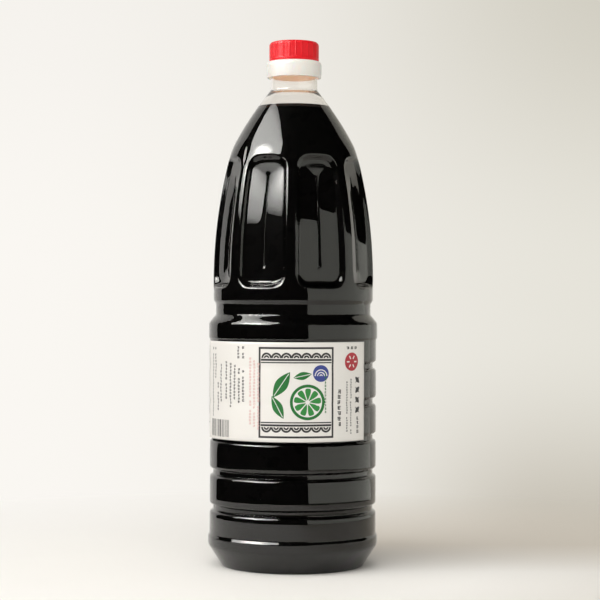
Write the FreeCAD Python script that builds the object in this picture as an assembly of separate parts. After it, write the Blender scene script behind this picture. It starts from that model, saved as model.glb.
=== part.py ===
import FreeCAD, Part
import math
import os

# Large plastic sauce bottle with a white collar, a red screw lid and a wrapped paper label.
# Millimetres. +Z is up, the origin is the middle of the foot, and the label's picture faces -Y.
# An angle round the bottle is measured from the front, and is positive towards +X.

# ---- driving dimensions -------------------------------------------------------------------

# The walls of the bottle: blown thin in the body, and thick in the neck.
WALL = 0.4
NECK_WALL = 1.6

# The foot: a flat standing ring, a chamfer out to the bumper ring, and a domed underside.
FOOT_RADIUS = 43.06
FOOT_RING_WIDTH = 3.44
FOOT_ROUND = 1.21
DOME_HEIGHT = 9.6
DOME_TOP_RADIUS = 12.13
DOME_BULGE = 1.62

# The bumper ring just above the foot.
BUMPER_RADIUS = 51.6
BUMPER_LOW_Z = 13.04
BUMPER_LOW_ROUND = 4.5
BUMPER_HIGH_Z = 18.3
BUMPER_TOP_Z = 19.8
BUMPER_ROUND = 1.2

# The ribbed drum, with a round-edged groove between each two ribs.
DRUM_RADIUS = 50.74
GROOVE_HEIGHTS = (35.68, 57.41, 78.54, 100.17, 121.7)
GROOVE_DEPTH = 2.02
GROOVE_FLOOR = 2.26
GROOVE_FLOOR_ROUND = 0.5
GROOVE_ROUND = 1.6
GROOVE_ANGLE = 55.0

# The ridge over the label, the narrow waist above it and the plain band above that.
RIDGE_RADIUS = 51.4
RIDGE_FOOT_Z = 137.3
RIDGE_LOW_Z = 138.4
RIDGE_HIGH_Z = 147.4
RIDGE_ROUND = 4.0
WAIST_RADIUS = 47.2
WAIST_LOW_Z = 152.3
WAIST_HIGH_Z = 158.6
WAIST_ROUND = 1.8
BAND_RADIUS = 48.67
BAND_LOW_Z = 161.0
SMALL_ROUND = 0.81

# The long curved side, in one arc, then the rounded shoulder edge and the dome above it.
SIDE_START_Z = 172.85
SIDE_ARC_RADIUS = 301.22
SIDE_TOP_Z = 250.68
SHOULDER_EDGE = (37.8, 252.8)
SHOULDER_START = (36.59, 255.23)
SHOULDER_MIDDLE = (27.9, 270.19)
SHOULDER_END = (15.1, 287.7)

# The neck, which meets the shoulder in a tight hollow corner.
NECK_RADIUS = 14.25
NECK_BLEND = (14.47, 288.55)
NECK_START_Z = 289.3
NECK_TOP_Z = 304.8

# The sunk panels of the shoulder, each folded along its middle with a hip at either end.
PANEL_COUNT = 8
PANEL_PHASE = -1.4
PANEL_HALF_ANGLE = 18.1
PANEL_LOW_Z = 169.01
PANEL_HIGH_Z = 246.5
PANEL_CORNER = 7.6
PANEL_STEP = 2.18
PANEL_HIGH_STEP = 1.62
PANEL_LOW_STEP = 2.72
PANEL_LIP_ROUND = 1.2
PANEL_FOLD_ANGLE = 6.0
PANEL_LOW_HIP_Z = 181.34
PANEL_HIGH_HIP_Z = 235.0

# How high the bottle is filled.
SAUCE_LEVEL_Z = 279.1

# The paper label: its sheet, its height on the drum and how far round it goes.
LABEL_THICKNESS = 0.2
LABEL_LOW_Z = 78.13
LABEL_HIGH_Z = 136.5
LABEL_LEFT_ANGLE = -115.0
LABEL_RIGHT_ANGLE = 56.3

# The white collar that snaps on the neck, with a plain plug in place of the spout.
COLLAR_LOW_Z = 296.4
COLLAR_HIGH_Z = 306.4
COLLAR_LOW_RADIUS = 16.48
COLLAR_RADIUS = 16.78
COLLAR_BULGE_Z = 300.4
COLLAR_SHOULDER_Z = 303.6
COLLAR_TOP_RADIUS = 15.47
PLUG_RADIUS = 12.53
PLUG_TOP_Z = 315.4

# The red screw lid with its grip ribs.
LID_RADIUS = 14.76
LID_RIM_RADIUS = 15.11
LID_RIM_TOP_Z = 308.3
LID_TOP_Z = 318.3
LID_EDGE_ROUND = 1.62
GRIP_COUNT = 24
GRIP_PHASE = 4.4
GRIP_RADIUS = 0.45
GRIP_OUT = 0.3
GRIP_TOP_Z = 317.3

UP = FreeCAD.Vector(0, 0, 1)
CENTRE = FreeCAD.Vector(0, 0, 0)
WELL_OUTSIDE = 70.0
SEAM_WIDTH = 0.02


# ---- outlines and small helpers -----------------------------------------------------------

def point(radius, height):
    """A point of a half section, which lies in the XZ plane."""
    return FreeCAD.Vector(radius, 0, height)


def line(start, end):
    return Part.LineSegment(start, end).toShape()


def arc(start, middle, end):
    return Part.Arc(start, middle, end).toShape()


def turned(edges):
    """The solid that a closed half section makes when it is turned once round the axis."""
    face = Part.Face(Part.Wire(edges))
    return face.revolve(CENTRE, UP, 360)


def facing(shape, angle):
    """The shape, made on the +X side, turned to an angle round the bottle from the front."""
    placed = shape.copy()
    placed.rotate(CENTRE, UP, angle - 90)
    return placed


def rounded_path(corners):
    """Edges from the first corner (point, rounding) to the last, with an arc at each rounded one."""
    edges = []
    last = corners[0][0]
    for index in range(1, len(corners) - 1):
        corner, rounding = corners[index]
        if rounding == 0:
            edges.append(line(last, corner))
            last = corner
            continue
        back = (corners[index - 1][0] - corner).normalize()
        ahead = (corners[index + 1][0] - corner).normalize()
        half = back.getAngle(ahead) / 2
        reach = rounding / math.tan(half)
        start = corner + back * reach
        end = corner + ahead * reach
        middle = corner + (back + ahead).normalize() * (rounding / math.sin(half) - rounding)
        edges.append(line(last, start))
        edges.append(arc(start, middle, end))
        last = end
    edges.append(line(last, corners[-1][0]))
    return edges


# ---- the bottle's body --------------------------------------------------------------------

def side_radius(height):
    """The radius of the long curved side at a height."""
    rise = height - SIDE_START_Z
    return BAND_RADIUS - SIDE_ARC_RADIUS + math.sqrt(SIDE_ARC_RADIUS ** 2 - rise ** 2)


def groove_corners(height, inset):
    """The corners of one groove of the drum, from its low edge to its high edge."""
    rib = DRUM_RADIUS - inset
    floor = rib - GROOVE_DEPTH
    lean = math.radians(GROOVE_ANGLE)
    half_floor = GROOVE_FLOOR / 2 + GROOVE_FLOOR_ROUND * math.tan(lean / 2)
    half_mouth = half_floor + GROOVE_DEPTH / math.tan(lean)
    low_mouth = point(rib, height - half_mouth)
    low_floor = point(floor, height - half_floor)
    high_floor = point(floor, height + half_floor)
    high_mouth = point(rib, height + half_mouth)
    return [
        (low_mouth, GROOVE_ROUND),
        (low_floor, GROOVE_FLOOR_ROUND),
        (high_floor, GROOVE_FLOOR_ROUND),
        (high_mouth, GROOVE_ROUND),
    ]


def drum_path(inset):
    """The section from the foot to the start of the curved side, moved in by the inset."""
    corners = [
        (point(FOOT_RADIUS - FOOT_RING_WIDTH, inset), 0),
        (point(FOOT_RADIUS - inset / 2, inset), FOOT_ROUND),
        (point(BUMPER_RADIUS - inset, BUMPER_LOW_Z), BUMPER_LOW_ROUND),
        (point(BUMPER_RADIUS - inset, BUMPER_HIGH_Z), BUMPER_ROUND),
        (point(DRUM_RADIUS - inset, BUMPER_TOP_Z), BUMPER_ROUND),
    ]
    for height in GROOVE_HEIGHTS:
        corners += groove_corners(height, inset)
    corners += [
        (point(DRUM_RADIUS - inset, RIDGE_FOOT_Z), SMALL_ROUND),
        (point(RIDGE_RADIUS - inset, RIDGE_LOW_Z), SMALL_ROUND),
        (point(RIDGE_RADIUS - inset, RIDGE_HIGH_Z), RIDGE_ROUND),
        (point(WAIST_RADIUS - inset, WAIST_LOW_Z), WAIST_ROUND),
        (point(WAIST_RADIUS - inset, WAIST_HIGH_Z), WAIST_ROUND),
        (point(BAND_RADIUS - inset, BAND_LOW_Z), WAIST_ROUND),
        (point(BAND_RADIUS - inset, SIDE_START_Z), 0),
    ]
    return rounded_path(corners)


def side_arc(inset):
    """The section of the long curved side."""
    middle_z = (SIDE_START_Z + SIDE_TOP_Z) / 2
    start = point(BAND_RADIUS - inset, SIDE_START_Z)
    middle = point(side_radius(middle_z) - inset, middle_z)
    end = point(side_radius(SIDE_TOP_Z) - inset, SIDE_TOP_Z)
    return arc(start, middle, end)


def underside(inset):
    """The section of the domed underside, from the axis out to the standing ring."""
    top = point(DOME_TOP_RADIUS, DOME_HEIGHT + inset)
    ring = point(FOOT_RADIUS - FOOT_RING_WIDTH, inset)
    middle = (top + ring) / 2 + FreeCAD.Vector(DOME_BULGE, 0, DOME_BULGE)
    return [line(point(0, DOME_HEIGHT + inset), top), arc(top, middle, ring)]


def outside_shoulder():
    """The section from the top of the curved side to the mouth, on the outside."""
    side_top = point(side_radius(SIDE_TOP_Z), SIDE_TOP_Z)
    shoulder_start = point(*SHOULDER_START)
    shoulder_end = point(*SHOULDER_END)
    neck_start = point(NECK_RADIUS, NECK_START_Z)
    return [
        arc(side_top, point(*SHOULDER_EDGE), shoulder_start),
        arc(shoulder_start, point(*SHOULDER_MIDDLE), shoulder_end),
        arc(shoulder_end, point(*NECK_BLEND), neck_start),
        line(neck_start, point(NECK_RADIUS, NECK_TOP_Z)),
    ]


def inside_shoulder():
    """The same on the inside, where the wall thickens towards the neck."""
    side_top = point(side_radius(SIDE_TOP_Z) - WALL, SIDE_TOP_Z)
    edge = point(SHOULDER_EDGE[0] - WALL, SHOULDER_EDGE[1])
    shoulder_start = point(SHOULDER_START[0] - WALL, SHOULDER_START[1])
    middle = point(SHOULDER_MIDDLE[0] - 1.6 * WALL, SHOULDER_MIDDLE[1] - WALL)
    throat_end = point(NECK_RADIUS - NECK_WALL, NECK_START_Z - 1.0)
    return [
        arc(side_top, edge, shoulder_start),
        arc(shoulder_start, middle, throat_end),
        line(throat_end, point(NECK_RADIUS - NECK_WALL, NECK_TOP_Z)),
    ]


def panel_outline(inset):
    """The outline of one panel, in the plane x = 0, with curved sides and round corners."""
    low_z = PANEL_LOW_Z - inset
    high_z = PANEL_HIGH_Z + inset
    middle_z = (low_z + high_z) / 2
    spread = math.sin(math.radians(PANEL_HALF_ANGLE))
    low_half = side_radius(PANEL_LOW_Z) * spread + inset
    middle_half = side_radius(middle_z) * spread + inset
    high_half = side_radius(PANEL_HIGH_Z) * spread + inset
    low_left = FreeCAD.Vector(0, -low_half, low_z)
    low_right = FreeCAD.Vector(0, low_half, low_z)
    high_left = FreeCAD.Vector(0, -high_half, high_z)
    high_right = FreeCAD.Vector(0, high_half, high_z)
    face = Part.Face(Part.Wire([
        line(low_left, low_right),
        arc(low_right, FreeCAD.Vector(0, middle_half, middle_z), high_right),
        line(high_right, high_left),
        arc(high_left, FreeCAD.Vector(0, -middle_half, middle_z), low_left),
    ]))
    block = face.extrude(FreeCAD.Vector(WELL_OUTSIDE, 0, 0))
    corners = [edge for edge in block.Edges if abs(edge.tangentAt(edge.FirstParameter).x) > 0.99]
    return block.makeFillet(PANEL_CORNER, corners)


def crease_radius(height, inset):
    """How far the fold of a panel lies from the axis at a height."""
    half_angle = math.radians(PANEL_HALF_ANGLE)
    half_width = side_radius(height) * math.sin(half_angle)
    drop = half_width * math.tan(math.radians(PANEL_FOLD_ANGLE))
    return side_radius(height) * math.cos(half_angle) - PANEL_STEP - drop - inset


def beyond_fold(side, inset):
    """All that lies outside one half of a panel's folded floor. The side is 1 or -1."""
    low_z = PANEL_LOW_Z - 10
    high_z = PANEL_HIGH_Z + 10
    middle_z = (low_z + high_z) / 2
    low = point(crease_radius(low_z, inset), low_z)
    middle = point(crease_radius(middle_z, inset), middle_z)
    high = point(crease_radius(high_z, inset), high_z)
    face = Part.Face(Part.Wire([
        arc(low, middle, high),
        line(high, point(WELL_OUTSIDE, high_z)),
        line(point(WELL_OUTSIDE, high_z), point(WELL_OUTSIDE, low_z)),
        line(point(WELL_OUTSIDE, low_z), low),
    ]))
    lean = math.tan(math.radians(PANEL_FOLD_ANGLE))
    run = FreeCAD.Vector(side * lean, 1, 0) * (DRUM_RADIUS / 2)
    face.translate(run * -1)
    return face.extrude(run * 2)


def beyond_hip(fold_end_z, rim_z, step, inset):
    """All that lies outside the hip between the end of the fold and the panel's low or high rim."""
    half_angle = math.radians(PANEL_HALF_ANGLE)
    fold_end = point(crease_radius(fold_end_z, inset), fold_end_z)
    rim = point(side_radius(rim_z) * math.cos(half_angle) - step - inset, rim_z)
    past_rim = fold_end + (rim - fold_end) * 2
    far_z = 0 if rim_z > fold_end_z else 2 * PANEL_HIGH_Z
    section = Part.makePolygon([
        point(0, far_z),
        point(0, fold_end_z),
        fold_end,
        past_rim,
        point(WELL_OUTSIDE, past_rim.z),
        point(WELL_OUTSIDE, far_z),
        point(0, far_z),
    ])
    face = Part.Face(section)
    face.translate(FreeCAD.Vector(0, -DRUM_RADIUS / 2, 0))
    return face.extrude(FreeCAD.Vector(0, DRUM_RADIUS, 0))


def panel_recess(inset):
    """What one sunk panel takes away from the body, on the +X side."""
    recess = panel_outline(inset)
    for side in (1, -1):
        recess = recess.common(beyond_fold(side, inset))
    recess = recess.common(beyond_hip(PANEL_LOW_HIP_Z, PANEL_LOW_Z, PANEL_LOW_STEP, inset))
    return recess.common(beyond_hip(PANEL_HIGH_HIP_Z, PANEL_HIGH_Z, PANEL_HIGH_STEP, inset))


def is_lip(edge, inset):
    """Whether an edge is part of a panel's rim, and not a seam of the body that is turned."""
    start, end = edge.ParameterRange
    places = [edge.valueAt(start + (end - start) * share) for share in (0.1, 0.5, 0.9)]
    if max(abs(place.y) for place in places) < SEAM_WIDTH:
        return False
    if max(abs(place.z - SIDE_START_Z) for place in places) < SEAM_WIDTH:
        return False
    for place in places:
        if not PANEL_LOW_Z - WALL - SMALL_ROUND < place.z < PANEL_HIGH_Z + WALL + SMALL_ROUND:
            return False
        surface = side_radius(max(place.z, SIDE_START_Z)) - inset
        if abs(math.hypot(place.x, place.y) - surface) > SEAM_WIDTH:
            return False
    return True


def with_panels(body, inset):
    """The body with all its panels sunk into it, and their rims rounded."""
    recess = panel_recess(inset)
    step = 360 / PANEL_COUNT
    recesses = [facing(recess, PANEL_PHASE + step * (index + 0.5)) for index in range(PANEL_COUNT)]
    sunk = body.cut(recesses)
    return sunk.makeFillet(PANEL_LIP_ROUND - inset, [edge for edge in sunk.Edges if is_lip(edge, inset)])


def make_bottle_and_sauce():
    """The clear bottle, and the sauce that fills it to its level."""
    top = point(0, NECK_TOP_Z)
    outside = turned(
        underside(0) + drum_path(0) + [side_arc(0)] + outside_shoulder()
        + [line(point(NECK_RADIUS, NECK_TOP_Z), top), line(top, point(0, DOME_HEIGHT))]
    )
    inside = turned(
        underside(WALL) + drum_path(WALL) + [side_arc(WALL)] + inside_shoulder()
        + [
            line(point(NECK_RADIUS - NECK_WALL, NECK_TOP_Z), top),
            line(top, point(0, DOME_HEIGHT + WALL)),
        ]
    )
    outside = with_panels(outside, 0)
    inside = with_panels(inside, WALL)
    fill = Part.makeCylinder(WELL_OUTSIDE, SAUCE_LEVEL_Z)
    return outside.cut(inside), inside.common(fill)


# ---- the label, the collar and the lid ----------------------------------------------------

def make_label():
    """A thin sheet stretched over the ribs of the drum."""
    start = point(DRUM_RADIUS, LABEL_LOW_Z)
    section = Part.makePolygon([
        start,
        point(DRUM_RADIUS + LABEL_THICKNESS, LABEL_LOW_Z),
        point(DRUM_RADIUS + LABEL_THICKNESS, LABEL_HIGH_Z),
        point(DRUM_RADIUS, LABEL_HIGH_Z),
        start,
    ])
    sheet = Part.Face(section).revolve(CENTRE, UP, LABEL_RIGHT_ANGLE - LABEL_LEFT_ANGLE)
    return facing(sheet, LABEL_LEFT_ANGLE)


def make_collar():
    """The white collar round the neck, closed over the mouth, with the plug under the lid."""
    low = point(COLLAR_LOW_RADIUS, COLLAR_LOW_Z)
    shoulder = point(COLLAR_RADIUS, COLLAR_SHOULDER_Z)
    high = point(COLLAR_TOP_RADIUS, COLLAR_HIGH_Z)
    shoulder_middle = (shoulder + high) / 2 + FreeCAD.Vector(0.35, 0, 0.25)
    return turned([
        line(point(NECK_RADIUS, COLLAR_LOW_Z), low),
        arc(low, point(COLLAR_RADIUS, COLLAR_BULGE_Z), shoulder),
        arc(shoulder, shoulder_middle, high),
        line(high, point(PLUG_RADIUS, COLLAR_HIGH_Z)),
        line(point(PLUG_RADIUS, COLLAR_HIGH_Z), point(PLUG_RADIUS, PLUG_TOP_Z)),
        line(point(PLUG_RADIUS, PLUG_TOP_Z), point(0, PLUG_TOP_Z)),
        line(point(0, PLUG_TOP_Z), point(0, NECK_TOP_Z)),
        line(point(0, NECK_TOP_Z), point(NECK_RADIUS, NECK_TOP_Z)),
        line(point(NECK_RADIUS, NECK_TOP_Z), point(NECK_RADIUS, COLLAR_LOW_Z)),
    ])


def make_lid():
    """The red lid: a plain rim, a ring of grip ribs, and a rounded top edge."""
    shell = rounded_path([
        (point(PLUG_RADIUS, COLLAR_HIGH_Z), 0),
        (point(LID_RIM_RADIUS, COLLAR_HIGH_Z), 0.3),
        (point(LID_RIM_RADIUS, LID_RIM_TOP_Z), 0.15),
        (point(LID_RADIUS, LID_RIM_TOP_Z), 0),
        (point(LID_RADIUS, LID_TOP_Z), LID_EDGE_ROUND),
        (point(0, LID_TOP_Z), 0),
        (point(0, PLUG_TOP_Z), 0),
        (point(PLUG_RADIUS, PLUG_TOP_Z), 0),
        (point(PLUG_RADIUS, COLLAR_HIGH_Z), 0),
    ])
    grip_centre = LID_RADIUS + GRIP_OUT - GRIP_RADIUS
    grip = Part.makeCylinder(GRIP_RADIUS, GRIP_TOP_Z - LID_RIM_TOP_Z, point(grip_centre, LID_RIM_TOP_Z))
    step = 360 / GRIP_COUNT
    grips = [facing(grip, GRIP_PHASE + step * index) for index in range(GRIP_COUNT)]
    envelope = turned(rounded_path([
        (point(0, COLLAR_HIGH_Z), 0),
        (point(LID_RADIUS + GRIP_OUT, COLLAR_HIGH_Z), 0),
        (point(LID_RADIUS + GRIP_OUT, LID_TOP_Z), LID_EDGE_ROUND + GRIP_OUT),
        (point(0, LID_TOP_Z), 0),
        (point(0, COLLAR_HIGH_Z), 0),
    ]))
    return turned(shell).fuse([grip.common(envelope) for grip in grips]).removeSplitter()


# ---- writing the sub-parts ----------------------------------------------------------------

def main():
    bottle, sauce = make_bottle_and_sauce()
    parts = {
        "bottle": bottle,
        "sauce": sauce,
        "label": make_label(),
        "collar": make_collar(),
        "lid": make_lid(),
    }
    os.makedirs("parts", exist_ok=True)
    for node, shape in parts.items():
        litres = shape.Volume / 1e6
        print(node, "solids", len(shape.Solids), "valid", shape.isValid(), "litres", round(litres, 4))
        shape.exportStep(f"parts/{node}.step")


if __name__ == "__main__":
    main()
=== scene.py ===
import logging
import math
import random
from dataclasses import dataclass, field, replace
from enum import Enum
from functools import partial
from typing import Callable

import bmesh
import bpy
from mathutils import Matrix, Vector


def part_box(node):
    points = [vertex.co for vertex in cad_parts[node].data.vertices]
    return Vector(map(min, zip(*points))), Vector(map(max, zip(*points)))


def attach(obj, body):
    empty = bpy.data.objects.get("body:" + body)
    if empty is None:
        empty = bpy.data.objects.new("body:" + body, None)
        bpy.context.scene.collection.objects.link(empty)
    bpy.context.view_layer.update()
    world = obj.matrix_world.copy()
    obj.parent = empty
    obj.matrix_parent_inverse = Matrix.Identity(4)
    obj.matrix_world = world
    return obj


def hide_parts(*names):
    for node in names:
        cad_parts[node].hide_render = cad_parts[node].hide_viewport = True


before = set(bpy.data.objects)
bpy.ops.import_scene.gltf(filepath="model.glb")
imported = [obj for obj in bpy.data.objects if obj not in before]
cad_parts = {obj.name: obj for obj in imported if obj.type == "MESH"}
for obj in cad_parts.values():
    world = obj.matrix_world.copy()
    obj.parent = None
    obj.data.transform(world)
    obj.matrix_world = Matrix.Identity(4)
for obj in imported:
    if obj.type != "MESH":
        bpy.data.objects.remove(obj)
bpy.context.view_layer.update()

# A large clear bottle of dark sauce with a white collar, a red screw lid and a wrapped paper label.
# Shapes are built in millimetres in the frame of the CAD model and made metres when they are finished.
# An angle round the bottle is measured from the front, -Y, and is positive towards +X.

MM = 0.001
ORIGIN = Vector((0.0, 0.0, 0.0))
UP = Vector((0.0, 0.0, 1.0))
log = logging.getLogger("bottle")

Point = tuple[float, float]
Colour = tuple[float, float, float]


class Slot(Enum):
    """The record's material slots."""

    CLEAR_PLASTIC = "clear_plastic"
    SAUCE = "sauce"
    LABEL_PAPER = "label_paper"
    WHITE_PLASTIC = "white_plastic"
    RED_PLASTIC = "red_plastic"


class Easing(Enum):
    """How a mapped value starts and stops."""

    LINEAR = "LINEAR"
    SMOOTH = "SMOOTHSTEP"
    SMOOTHER = "SMOOTHERSTEP"


# ---- shader helpers -----------------------------------------------------------------------

class Shader:
    """One material's node tree, with short calls for the nodes that the finishes share."""

    def __init__(self, name: str) -> None:
        """Starts a material with nothing but its output.

        Args:
            name: The material's name.
        """
        self.material = bpy.data.materials.new(name)
        self.material.use_nodes = True
        self.tree = self.material.node_tree
        self.tree.nodes.clear()
        self.output = self.tree.nodes.new("ShaderNodeOutputMaterial")
        self.place = self.node("ShaderNodeTexCoord").outputs["Object"]

    def node(self, kind: str, **settings: object) -> bpy.types.Node:
        """Adds a node.

        Args:
            kind: The node's type name.
            **settings: Properties to set on it.

        Returns:
            The node.
        """
        made = self.tree.nodes.new(kind)
        for key, value in settings.items():
            setattr(made, key, value)
        return made

    def link(self, source: bpy.types.NodeSocket, target: bpy.types.NodeSocket) -> None:
        """Joins an output to an input."""
        self.tree.links.new(source, target)

    def feed(self, value: bpy.types.NodeSocket | float | Colour, target: bpy.types.NodeSocket) -> None:
        """Joins an output to an input, or sets the input to a plain number or colour.

        Args:
            value: The output, the number or the colour.
            target: The input.
        """
        if isinstance(value, bpy.types.NodeSocket):
            self.link(value, target)
        else:
            target.default_value = (*value, 1.0) if target.type == "RGBA" else value

    def split(self, vector: bpy.types.NodeSocket) -> bpy.types.bpy_prop_collection:
        """Splits a vector.

        Args:
            vector: The vector.

        Returns:
            Its "X", "Y" and "Z".
        """
        parts = self.node("ShaderNodeSeparateXYZ")
        self.link(vector, parts.inputs["Vector"])
        return parts.outputs

    def length(self, vector: bpy.types.NodeSocket) -> bpy.types.NodeSocket:
        """Measures a vector.

        Args:
            vector: The vector.

        Returns:
            Its length.
        """
        made = self.node("ShaderNodeVectorMath", operation="LENGTH")
        self.link(vector, made.inputs[0])
        return made.outputs["Value"]

    def emission(self, colour: bpy.types.NodeSocket | Colour,
                 strength: bpy.types.NodeSocket | float) -> bpy.types.NodeSocket:
        """Makes a glow.

        Args:
            colour: Its colour.
            strength: Its strength.

        Returns:
            The glow.
        """
        made = self.node("ShaderNodeEmission")
        self.feed(colour, made.inputs["Color"])
        self.feed(strength, made.inputs["Strength"])
        return made.outputs["Emission"]

    def noise(self, size: float, detail: float = 2.0,
              stretch: Colour = (1.0, 1.0, 1.0)) -> bpy.types.NodeSocket:
        """Adds a cloudy pattern.

        Args:
            size: The size of its lumps in millimetres.
            detail: How many finer octaves it has.
            stretch: How many times longer the lumps are along each axis.

        Returns:
            The pattern's value, from 0 to 1 with a middle of 0.5.
        """
        mapping = self.node("ShaderNodeMapping")
        mapping.inputs["Scale"].default_value = [1.0 / (size * MM * length) for length in stretch]
        self.link(self.place, mapping.inputs["Vector"])
        pattern = self.node("ShaderNodeTexNoise")
        pattern.inputs["Scale"].default_value = 1.0
        pattern.inputs["Detail"].default_value = detail
        self.link(mapping.outputs["Vector"], pattern.inputs["Vector"])
        return pattern.outputs["Fac"]

    def ranged(self, source: bpy.types.NodeSocket, low: float, high: float, start: float = 0.3,
               end: float = 0.7, easing: Easing = Easing.LINEAR) -> bpy.types.NodeSocket:
        """Maps a value from start..end to low..high.

        Args:
            source: The value.
            low: What start becomes.
            high: What end becomes.
            start: The value at the low end.
            end: The value at the high end.
            easing: How the change starts and stops.

        Returns:
            The mapped value, kept within low and high.
        """
        mapped = self.node("ShaderNodeMapRange", interpolation_type=easing.value)
        for key, value in zip(("From Min", "From Max", "To Min", "To Max"), (start, end, low, high)):
            mapped.inputs[key].default_value = value
        self.link(source, mapped.inputs["Value"])
        return mapped.outputs["Result"]

    def blend(self, factor: bpy.types.NodeSocket, first: Colour, second: Colour) -> bpy.types.NodeSocket:
        """Mixes two colours.

        Args:
            factor: 0 for the first colour and 1 for the second.
            first: The first colour.
            second: The second colour.

        Returns:
            The mixed colour.
        """
        mixed = self.node("ShaderNodeMix", data_type="RGBA")
        targets = [socket for socket in mixed.inputs if socket.type == "RGBA"]
        for colour, target in zip((first, second), targets):
            self.feed(colour, target)
        self.link(factor, mixed.inputs["Factor"])
        return next(socket for socket in mixed.outputs if socket.type == "RGBA")

    def tinted(self, colour: bpy.types.NodeSocket, share: bpy.types.NodeSocket,
               tint: Colour) -> bpy.types.NodeSocket:
        """Multiplies a colour by a tint.

        Args:
            colour: The colour.
            share: 0 where the colour stays and 1 where the whole tint counts.
            tint: The tint.

        Returns:
            The product.
        """
        product = self.node("ShaderNodeVectorMath", operation="MULTIPLY")
        self.link(colour, product.inputs[0])
        self.link(self.blend(share, (1.0, 1.0, 1.0), tint), product.inputs[1])
        return product.outputs["Vector"]

    def ramp(self, source: bpy.types.NodeSocket, stops: list[tuple[float, Colour]]) -> bpy.types.NodeSocket:
        """Turns a value from 0 to 1 into a colour that runs through several stops.

        Args:
            source: The value.
            stops: The value and the colour of each stop.

        Returns:
            The colour.
        """
        made = self.node("ShaderNodeValToRGB")
        made.color_ramp.interpolation = "EASE"
        elements = made.color_ramp.elements
        while len(elements) < len(stops):
            elements.new(1.0)
        for element, (place, colour) in zip(elements, stops):
            element.position = place
            element.color = (*colour, 1.0)
        self.link(source, made.inputs["Fac"])
        return made.outputs["Color"]

    def maths(self, operation: str, first: bpy.types.NodeSocket | float,
              second: bpy.types.NodeSocket | float) -> bpy.types.NodeSocket:
        """Joins two values by arithmetic.

        Args:
            operation: The name of the operation.
            first: The first value.
            second: The second value.

        Returns:
            The result.
        """
        made = self.node("ShaderNodeMath", operation=operation)
        for value, target in zip((first, second), made.inputs):
            self.feed(value, target)
        return made.outputs["Value"]

    def bump(self, height: bpy.types.NodeSocket, depth: float,
             under: bpy.types.NodeSocket | None = None) -> bpy.types.NodeSocket:
        """Turns a height into a surface relief.

        Args:
            height: The height pattern, from 0 to 1.
            depth: How deep the relief is, in millimetres.
            under: A relief that this one lies on.

        Returns:
            The bent normal.
        """
        relief = self.node("ShaderNodeBump")
        relief.inputs["Strength"].default_value = 1.0
        relief.inputs["Distance"].default_value = depth * MM
        self.link(height, relief.inputs["Height"])
        if under is not None:
            self.link(under, relief.inputs["Normal"])
        return relief.outputs["Normal"]


def scaled(colour: Colour, factor: float) -> Colour:
    """Returns the colour made lighter or darker by a factor."""
    return (colour[0] * factor, colour[1] * factor, colour[2] * factor)


@dataclass(frozen=True)
class Finish:
    """A moulded, printed or poured surface: its colour, its gloss and their small unevenness."""

    name: str
    colour: Colour
    roughness: float
    ior: float = 1.5
    mottle: float = 0.04
    mottle_size: float = 9.0
    roughness_spread: float = 0.06
    relief_size: float = 1.2
    relief_depth: float = 0.01
    wave_size: float = 18.0
    wave_depth: float = 0.0
    transmission: float = 0.0
    subsurface: float = 0.0
    subsurface_depth: float = 2.0

    def base_colour(self, shader: Shader) -> bpy.types.NodeSocket:
        """The colour pattern, faintly uneven.

        Args:
            shader: The material that is being made.

        Returns:
            The colour.
        """
        cloud = shader.ranged(shader.noise(self.mottle_size, 3.0), 0.0, 1.0)
        return shader.blend(cloud, scaled(self.colour, 1.0 - self.mottle), self.colour)

    def normal(self, shader: Shader) -> bpy.types.NodeSocket:
        """The relief: long soft waves with a fine grain on them.

        Args:
            shader: The material that is being made.

        Returns:
            The bent normal.
        """
        under = None
        if self.wave_depth:
            under = shader.bump(shader.noise(self.wave_size, 0.0), self.wave_depth)
        return shader.bump(shader.noise(self.relief_size, 2.0), self.relief_depth, under)

    def add_glow(self, shader: Shader, surface: bpy.types.Node) -> None:
        """Leaves the surface without a glow. A finish that has one adds it here."""

    def material(self) -> bpy.types.Material:
        """Makes the material.

        Returns:
            The material.
        """
        shader = Shader(self.name)
        surface = shader.node("ShaderNodeBsdfPrincipled")
        surface.inputs["IOR"].default_value = self.ior
        surface.inputs["Transmission Weight"].default_value = self.transmission
        surface.inputs["Subsurface Weight"].default_value = self.subsurface
        surface.inputs["Subsurface Scale"].default_value = self.subsurface_depth * MM
        gloss = shader.noise(self.mottle_size * 0.6, 3.0)
        low = max(self.roughness - self.roughness_spread, 0.0)
        rough = shader.ranged(gloss, low, self.roughness + self.roughness_spread)
        shader.link(rough, surface.inputs["Roughness"])
        shader.link(self.base_colour(shader), surface.inputs["Base Color"])
        shader.link(self.normal(shader), surface.inputs["Normal"])
        self.add_glow(shader, surface)
        shader.link(surface.outputs["BSDF"], shader.output.inputs["Surface"])
        return shader.material


@dataclass(frozen=True)
class PaperFinish(Finish):
    """Smooth label paper, with short fibres in it."""

    fibre_size: float = 0.25

    def base_colour(self, shader: Shader) -> bpy.types.NodeSocket:
        """The paper's colour, with faint fibres.

        Args:
            shader: The material that is being made.

        Returns:
            The colour.
        """
        fibres = shader.noise(self.fibre_size, 3.0, (4.0, 4.0, 1.0))
        share = shader.ranged(fibres, 0.0, 1.0)
        return shader.blend(share, scaled(self.colour, 1.0 - self.mottle), self.colour)


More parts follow.
